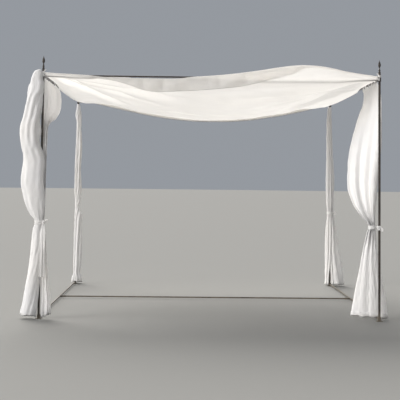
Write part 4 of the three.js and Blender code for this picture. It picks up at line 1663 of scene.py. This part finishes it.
@dataclass
class CanopyTies:
    """The strips that hold the roof sheet's corners to the posts."""

    palette: Palette
    knot_size: float = 0.0085
    end_width: float = 0.014
    ends: Sequence[tuple[float, float]] = ((0.022, 0.026), (0.004, -0.046))  # how far aside and up
    gap: float = 0.0005  # between the solid's box and the band
    rounding: float = 1.28  # how far its corners reach, for each of its half widths
    lap: float = 1.02  # turns that it makes
    waver: float = 0.0015
    ribs: int = 3
    relief: float = 0.0009
    seed: int = 17

    def _tie(self, corner: Corner) -> None:
        """Puts the band round one post, with a small knot and two short ends.

        Args:
            corner: The post.
        """
        name = f"canopy_tie_{corner.word}"
        low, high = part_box(name)
        half = (high.x - low.x) / 2 + self.gap
        middle = (low + high) / 2
        turns = np.linspace(0, math.tau * self.lap, 72)
        square = half / np.maximum(np.abs(np.cos(turns)), np.abs(np.sin(turns)))
        reach = np.minimum(square, half * self.rounding)
        x, y = middle.x + reach * np.cos(turns), middle.y + reach * np.sin(turns)
        z = middle.z + self.waver * np.sin(turns * 2)
        points = strip(*ring(x, y, z, high.z - low.z, 2), self.ribs, self.relief, self.seed)
        band = cloth_piece(f"{name}_band", points, self.palette.sash, "sash_cloth", name)
        out = corner.value[0]
        x, y, z = middle.x - out * 0.006, middle.y - half - self.knot_size * 0.5, middle.z
        tied = knot(f"{name}_knot", (x, y, z), self.knot_size, 400 + 10 * out, self.palette.sash)
        cut_of(band, points)
        for index, (aside, rise) in enumerate(self.ends, start=1):
            path = [
                (x, y - 0.004, z + 0.1 * rise),
                (x - out * aside * 0.5, y - 0.009, z + 0.6 * rise),
                (x - out * aside, y - 0.010, z + rise),
            ]
            end = loose_end(path, self.end_width, 420 + index)
            piece = cloth_piece(f"{name}_end_{index}", end, self.palette.sash, "sash_cloth")
            cut_of(piece, end)

    def build(self) -> None:
        """Makes the four ties."""
        for corner in Corner:
            self._tie(corner)


@dataclass
class RailLoops:
    """The short loops by which the headings of the two front curtains hang from their rails."""

    palette: Palette
    left: Sequence[tuple[float, float]] = metres((-955, 50), (-835, 70), (-700, 50))  # place and width
    right: Sequence[tuple[float, float]] = metres(
        (-1545, 75), (-1382, 75), (-1210, 35), (-1005, 110), (-880, 45)
    )
    half_width: float = 0.0112
    half_height: float = 0.0165
    drop: float = 0.006  # of the loop's middle below the rail's axis
    slant: float = 0.010
    lap: float = 1.04  # turns that each makes
    slack: float = 0.05  # how much wider it gets by its end
    ribs: int = 3
    relief: float = 0.0011
    seed: int = 300

    def _loop(self, side: str, index: int, y: float, width: float) -> None:
        """Puts one loop round a rail.

        Args:
            side: The rail's side, left or right.
            index: The loop's number.
            y: Its place along the rail.
            width: How wide it is along the rail.
        """
        rail = f"top_rail_{side}"
        low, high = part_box(rail)
        middle = (low + high) / 2
        turns = np.linspace(0, math.tau * self.lap, 66) - 2.2
        spare = 1 + self.slack * np.linspace(0, 1, len(turns))
        x = middle.x + self.half_width * spare * np.cos(turns)
        z = middle.z - self.drop + self.half_height * spare * np.sin(turns)
        size = width * (0.8 + 0.2 * np.sin(turns) ** 2)
        line = ring(x, y + self.slant * np.sin(turns + index), z, size, 1)
        points = strip(*line, self.ribs, self.relief, self.seed + index)
        name = f"heading_loop_front_{side}_{index}"
        piece = cloth_piece(name, points, self.palette.curtain, "curtain_cloth")
        cut_of(piece, points)

    def build(self) -> None:
        """Makes the loops of both rails."""
        for side, spots in (("left", self.left), ("right", self.right)):
            for index, (y, width) in enumerate(spots, start=1):
                self._loop(side, index, y, width)


FRONT_LEFT_WAIST = Waist((-0.006, -0.002, 0.984), (0.052, 0.036), 0.018)
FRONT_RIGHT_WAIST = Waist((-0.066, 0.040, 0.965), (0.040, 0.032), 0.016)
BACK_RIGHT_WAIST = Waist((0.008, 0.002, 1.002), (0.046, 0.036), 0.014)

OUTER_LEVELS = level_table(
    (-24, -6, 2508, -52, 10, 2514, 8), (-16, -12, 2550, -66, 8, 2548, 20),
    (-10, -16, 2546, -96, 10, 2530, 34), (-10, -16, 2512, -120, 12, 2486, 42),
    (-8, -16, 2470, -134, 14, 2430, 47), (14, -16, 2416, -144, 14, 2390, 50),
    (15, -16, 2350, -154, 16, 2330, 54), (-6, -12, 2280, -166, 18, 2262, 57, 0, -85),
    (-16, -8, 2110, -198, 20, 2090, 62, 0, -80), (-16, -8, 1930, -233, 22, 1930, 64, 0, -80),
    (-12, -10, 1780, -216, 24, 1770, 64, 0, -85), (12, -14, 1690, -196, 24, 1670, 62),
    (28, -16, 1600, -190, 24, 1600, 60), (34, -18, 1420, -204, 22, 1420, 60, 0, -85),
    (36, -18, 1290, -184, 18, 1290, 52, 0, -85), (36, -16, 1174, -156, 10, 1174, 44),
    (34, -12, 1067, -109, 4, 1067, 36), (30, -8, 1000, -60, -2, 1000, 30),
    (30, -8, 965, -58, -2, 965, 30),
    (32, -10, 920, -71, -2, 930, 36, 0, -95), (34, -14, 790, -84, -2, 790, 42, 0, -95),
    (30, -18, 590, -101, -2, 590, 48, 0, -95), (12, -20, 420, -126, -4, 420, 53, 0, -95),
    (-4, -20, 280, -146, -4, 280, 57, 0, -95), (-14, -20, 130, -167, -6, 135, 62, 0, -95),
    (-18, -20, 12, -190, -6, 40, 66, 0, -95),
)

INNER_LEVELS = level_table(
    (4, 45, 2482, 6, 1130, 2478, 6), (4, 44, 2440, 36, 1130, 2432, 14, -12),
    (4, 44, 2380, 54, 1060, 2372, 20, -24), (4, 44, 2300, 66, 900, 2270, 26, -32),
    (4, 43, 2240, 70, 770, 2188, 28, -34), (4, 42, 2180, 68, 620, 2118, 30, -30),
    (5, 38, 2110, 58, 330, 2040, 32, -20), (7, 32, 2055, 49, 110, 1998, 32, -8),
    (12, 18, 1950, 46, 45, 1950, 30), (16, 4, 1700, 46, 20, 1700, 28), (16, 4, 1400, 44, 16, 1400, 28),
    (16, 2, 1100, 42, 10, 1100, 28), (16, 0, 985, 42, 0, 985, 26), (16, 0, 930, 46, 0, 930, 30),
    (20, -2, 790, 58, 0, 790, 28, -6), (26, -4, 590, 76, 0, 590, 22, -14),
    (24, -6, 400, 94, 0, 400, 18, -22), (22, -8, 200, 117, 0, 200, 18, -30),
    (20, -10, 12, 127, 0, 35, 20, -34),
)

RIGHT_LEVELS = level_table(
    (-14, 45, 2482, -16, 910, 2482, 6), (4, 35, 2420, -4, 890, 2430, 12, 4),
    (24, 30, 2330, -9, 860, 2350, 18, 12), (30, 28, 2100, -86, 760, 2127, 19, 30),
    (30, 28, 1860, -178, 620, 1870, 22, 40), (12, 30, 1660, -244, 450, 1620, 24, 44),
    (-6, 34, 1450, -269, 330, 1375, 25, 40), (-22, 36, 1250, -239, 220, 1200, 27, 30),
    (-34, 38, 1100, -184, 130, 1080, 29, 18), (-37, 38, 1020, -125, 70, 1010, 32, 8),
    (-38, 38, 965, -108, 45, 965, 31, 4), (-32, 42, 920, -118, 52, 920, 26, 12),
    (-20, 56, 800, -143, 68, 800, 24, 22), (5, 72, 600, -178, 92, 600, 22, 34),
    (61, 90, 340, -226, 116, 340, 24, 46), (97, 104, 120, -260, 136, 130, 28, 54),
    (107, 112, 12, -273, 146, 35, 30, 56),
)

BACK_LEFT_LEVELS = level_table(
    (-20, 0, 2466, 18, 0, 2466, 20, 0, 120), (-36, 0, 2305, 45, 0, 2305, 30, 0, 120),
    (-20, 0, 2210, 43, 0, 2210, 28, 0, 125), (-28, 0, 1860, 60, 0, 1860, 32, 0, 120),
    (-38, 0, 1563, 53, 0, 1563, 34, 0, 110), (-37, 0, 1294, 67, 0, 1294, 38, 0, 100),
    (-24, 0, 1150, 52, 0, 1150, 32, 0, 70), (-20, 0, 1039, 36, 0, 1039, 25, 0, 10),
    (-30, 0, 930, 80, 0, 930, 38, 0, -40), (-29, 0, 620, 90, 0, 620, 42, 0, -60),
    (-30, 0, 283, 90, 0, 283, 42, 0, -70), (-26, 0, 148, 70, 0, 148, 36, 0, -70),
    (-50, 0, 66, 100, 0, 70, 52, 0, -70), (-54, 0, 12, 104, 0, 16, 56, 0, -70),
)

BACK_RIGHT_LEVELS = level_table(
    (-33, 0, 2470, 18, 0, 2470, 22), (-50, 0, 2211, 25, 0, 2211, 30), (-51, 0, 1772, 43, 0, 1772, 36),
    (-60, 0, 1414, 63, 0, 1414, 40), (-48, 0, 1100, 53, 0, 1100, 38), (-38, 0, 1002, 52, 0, 1002, 34),
    (-42, 0, 930, 62, 0, 930, 38), (-60, 0, 809, 84, 0, 809, 44), (-71, 0, 547, 123, 0, 547, 50),
    (-70, 0, 286, 170, 0, 286, 56, 0, -92, 101), (-66, 0, 80, 196, 0, 80, 62, 0, -96, 92),
    (-78, 0, 12, 206, 0, 12, 68, 0, -96, 92),
)


@dataclass
class Curtains:
    """The five gathered sheets and the three sashes that hold them."""

    palette: Palette

    def sheets(self) -> list[Curtain]:
        """Sets up the curtains.

        Returns:
            The curtains, ready to build.
        """
        outer = Curtain(
            "curtain_front_left_outer",
            Corner.FRONT_LEFT,
            OUTER_LEVELS,
            folds=6.5,
            seed=104,
            section=Section.BUNDLE,
            away=(0, -1),
            waist=FRONT_LEFT_WAIST,
            crown=0.012,
            skirt_calm=0.6,
        )
        inner = Curtain(
            "curtain_front_left_inner",
            Corner.FRONT_LEFT,
            INNER_LEVELS,
            folds=4.0,
            seed=131,
            away=(1, 0),
            waist=FRONT_LEFT_WAIST,
            heading=14,
            skirt_calm=0.5,
        )
        right = Curtain(
            "curtain_front_right",
            Corner.FRONT_RIGHT,
            RIGHT_LEVELS,
            folds=2.3,
            seed=153,
            waist=FRONT_RIGHT_WAIST,
            heading=14,
            gathers=7.0,
            skirt_calm=0.8,
        )
        wrap, left_post, right_post = Section.WRAPPED, Corner.BACK_LEFT, Corner.BACK_RIGHT
        back_left = Curtain("curtain_back_left", left_post, BACK_LEFT_LEVELS, 11, 171, wrap)
        back_right = Curtain(
            "curtain_back_right", right_post, BACK_RIGHT_LEVELS, 11, 191, wrap, waist=BACK_RIGHT_WAIST
        )
        return [back_right, back_left, right, inner, outer]

    def sashes(self) -> list[Sash]:
        """Sets up the sashes.

        Returns:
            The sashes, ready to build.
        """
        long_tail = metres((36, -46, 984), (36, -60, 930), (34, -70, 780), (34, -74, 600), (34, -74, 428))
        left_end = metres((48, -30, 990), (62, -34, 1004), (68, -38, 1012))
        bow_end = metres((-30, -4, 965), (-20, -22, 962), (-6, -30, 935))
        post_end = metres((14, -18, 965), (22, -24, 955), (24, -26, 925))
        side_end = metres((52, -20, 1000), (64, -26, 1006), (70, -28, 985))
        return [
            Sash(
                "curtain_tie_front_left",
                Corner.FRONT_LEFT,
                FRONT_LEFT_WAIST,
                self.palette,
                knot_angle=-0.75,
                tails=((long_tail, 0.062), (left_end, 0.03)),
                seed=211,
            ),
            Sash(
                "curtain_tie_front_right",
                Corner.FRONT_RIGHT,
                FRONT_RIGHT_WAIST,
                self.palette,
                knot_angle=-0.5,
                width=0.038,
                knot_size=0.013,
                tails=((bow_end, 0.026), (post_end, 0.024)),
                post_loop=True,
                seed=223,
            ),
            Sash(
                "curtain_tie_back_right",
                Corner.BACK_RIGHT,
                BACK_RIGHT_WAIST,
                self.palette,
                knot_angle=-0.45,
                width=0.034,
                knot_size=0.014,
                tails=((side_end, 0.026),),
                seed=239,
            ),
        ]

    def build(self) -> None:
        """Makes the curtains and their sashes."""
        hung = {curtain.corner: curtain.build(self.palette.curtain) for curtain in self.sheets()}
        for sash in self.sashes():
            sash.build(hung[sash.corner])


@dataclass
class Studio:
    """The pale floor, the soft lights and the camera."""

    place: Point = (-0.289, -12.112, 1.426)
    yaw: float = 0.943
    pitch: float = 3.333
    roll: float = 0.633
    focal_pixels: float = 1000.0
    below_axis: float = 77.5  # pixels from the lens's axis down to the picture's middle
    floor_radius: float = 150.0
    floor_colour: Colour = (0.26, 0.26, 0.25)
    key_from: Point = (-0.26, 0.64, 0.66)
    key_power: float = 3.4
    key_softness: float = 42.0
    key_tint: Colour = (1.0, 0.97, 0.93)
    side_from: Point = (-0.90, -0.38, 0.18)
    side_power: float = 3.7
    side_softness: float = 40.0
    side_tint: Colour = (1.0, 0.98, 0.96)
    fill_power: float = 0.62
    fill_tint: Colour = (0.84, 0.84, 0.86)
    backdrop: Colour = (0.30, 0.32, 0.35)

    def camera(self) -> Piece:
        """Sets up the camera at the picture's angle.

        Returns:
            The camera.
        """
        yaw, pitch, roll = (math.radians(angle) for angle in (self.yaw, self.pitch, self.roll))
        flat = math.cos(pitch)
        ahead = Vector((math.sin(yaw) * flat, math.cos(yaw) * flat, math.sin(pitch)))
        level = Vector((math.cos(yaw), -math.sin(yaw), 0.0))
        upward = level.cross(ahead)
        right = level * math.cos(roll) + upward * math.sin(roll)
        top = upward * math.cos(roll) - level * math.sin(roll)
        turn = Matrix((right, top, -ahead)).transposed()
        lens = bpy.data.cameras.new("camera")
        lens.sensor_width = SENSOR
        lens.lens = self.focal_pixels / PHOTO_SIDE * SENSOR
        lens.shift_y = -self.below_axis / PHOTO_SIDE
        lens.clip_end = 500.0
        camera = in_scene("camera", lens)
        camera.matrix_world = Matrix.Translation(self.place) @ turn.to_4x4()
        bpy.context.scene.camera = camera
        return camera

    def floor(self) -> Piece:
        """Lays a plain pale floor.

        Returns:
            The floor.
        """
        paint = {"Base Color": self.floor_colour, "Roughness": 0.9, "Specular IOR Level": 0.1}
        kind = "ShaderNodeBsdfPrincipled"
        made = new_material("pale floor", lambda board: board.add(kind, paint).outputs[0])
        shape = bmesh.new()
        bmesh.ops.create_circle(shape, cap_ends=True, segments=96, radius=self.floor_radius)
        floor = own_mesh("floor", shape, made)
        return floor

    def _lamp(self, name: str, source: Point, power: float, softness: float, tint: Colour) -> None:
        """Sets a broad far light.

        Args:
            name: The light's name.
            source: The direction it comes from.
            power: How strong it is.
            softness: How wide it looks, in degrees.
            tint: Its colour.
        """
        light = bpy.data.lights.new(name, "SUN")
        light.energy = power
        light.angle = math.radians(softness)
        light.color = tint
        lamp = in_scene(name, light)
        lamp.rotation_mode = "QUATERNION"
        lamp.rotation_quaternion = Vector(source).to_track_quat("Z", "Y")

    def lights(self) -> None:
        """Sets a soft key light from behind and the left, a weaker one at the left and an even fill."""
        self._lamp("key", self.key_from, self.key_power, self.key_softness, self.key_tint)
        self._lamp("side", self.side_from, self.side_power, self.side_softness, self.side_tint)
        world = bpy.data.worlds.new("studio")
        world.use_nodes = True
        board = Board(world.node_tree)
        fill = board.add("ShaderNodeBackground", {"Color": self.fill_tint, "Strength": self.fill_power})
        seen = board.add("ShaderNodeBackground", {"Color": self.backdrop})
        straight = board.add("ShaderNodeLightPath").outputs["Is Camera Ray"]
        board.add("ShaderNodeOutputWorld", {"Surface": board.mixed(straight, fill, seen)})
        bpy.context.scene.world = world
        bpy.context.scene.view_settings.view_transform = "Standard"

    def build(self) -> None:
        """Sets up the whole studio."""
        self.camera()
        self.floor()
        self.lights()


def main() -> None:
    """Builds the gazebo's looks, piece by piece."""
    logging.basicConfig(level=logging.INFO, format="%(name)s: %(message)s")
    Studio().build()
    palette = Palette()
    SteelFrame(palette).build()
    Canopy(palette).build()
    CanopyTies(palette).build()
    Curtains(palette).build()
    RailLoops(palette).build()


if __name__ == "__main__":
    main()
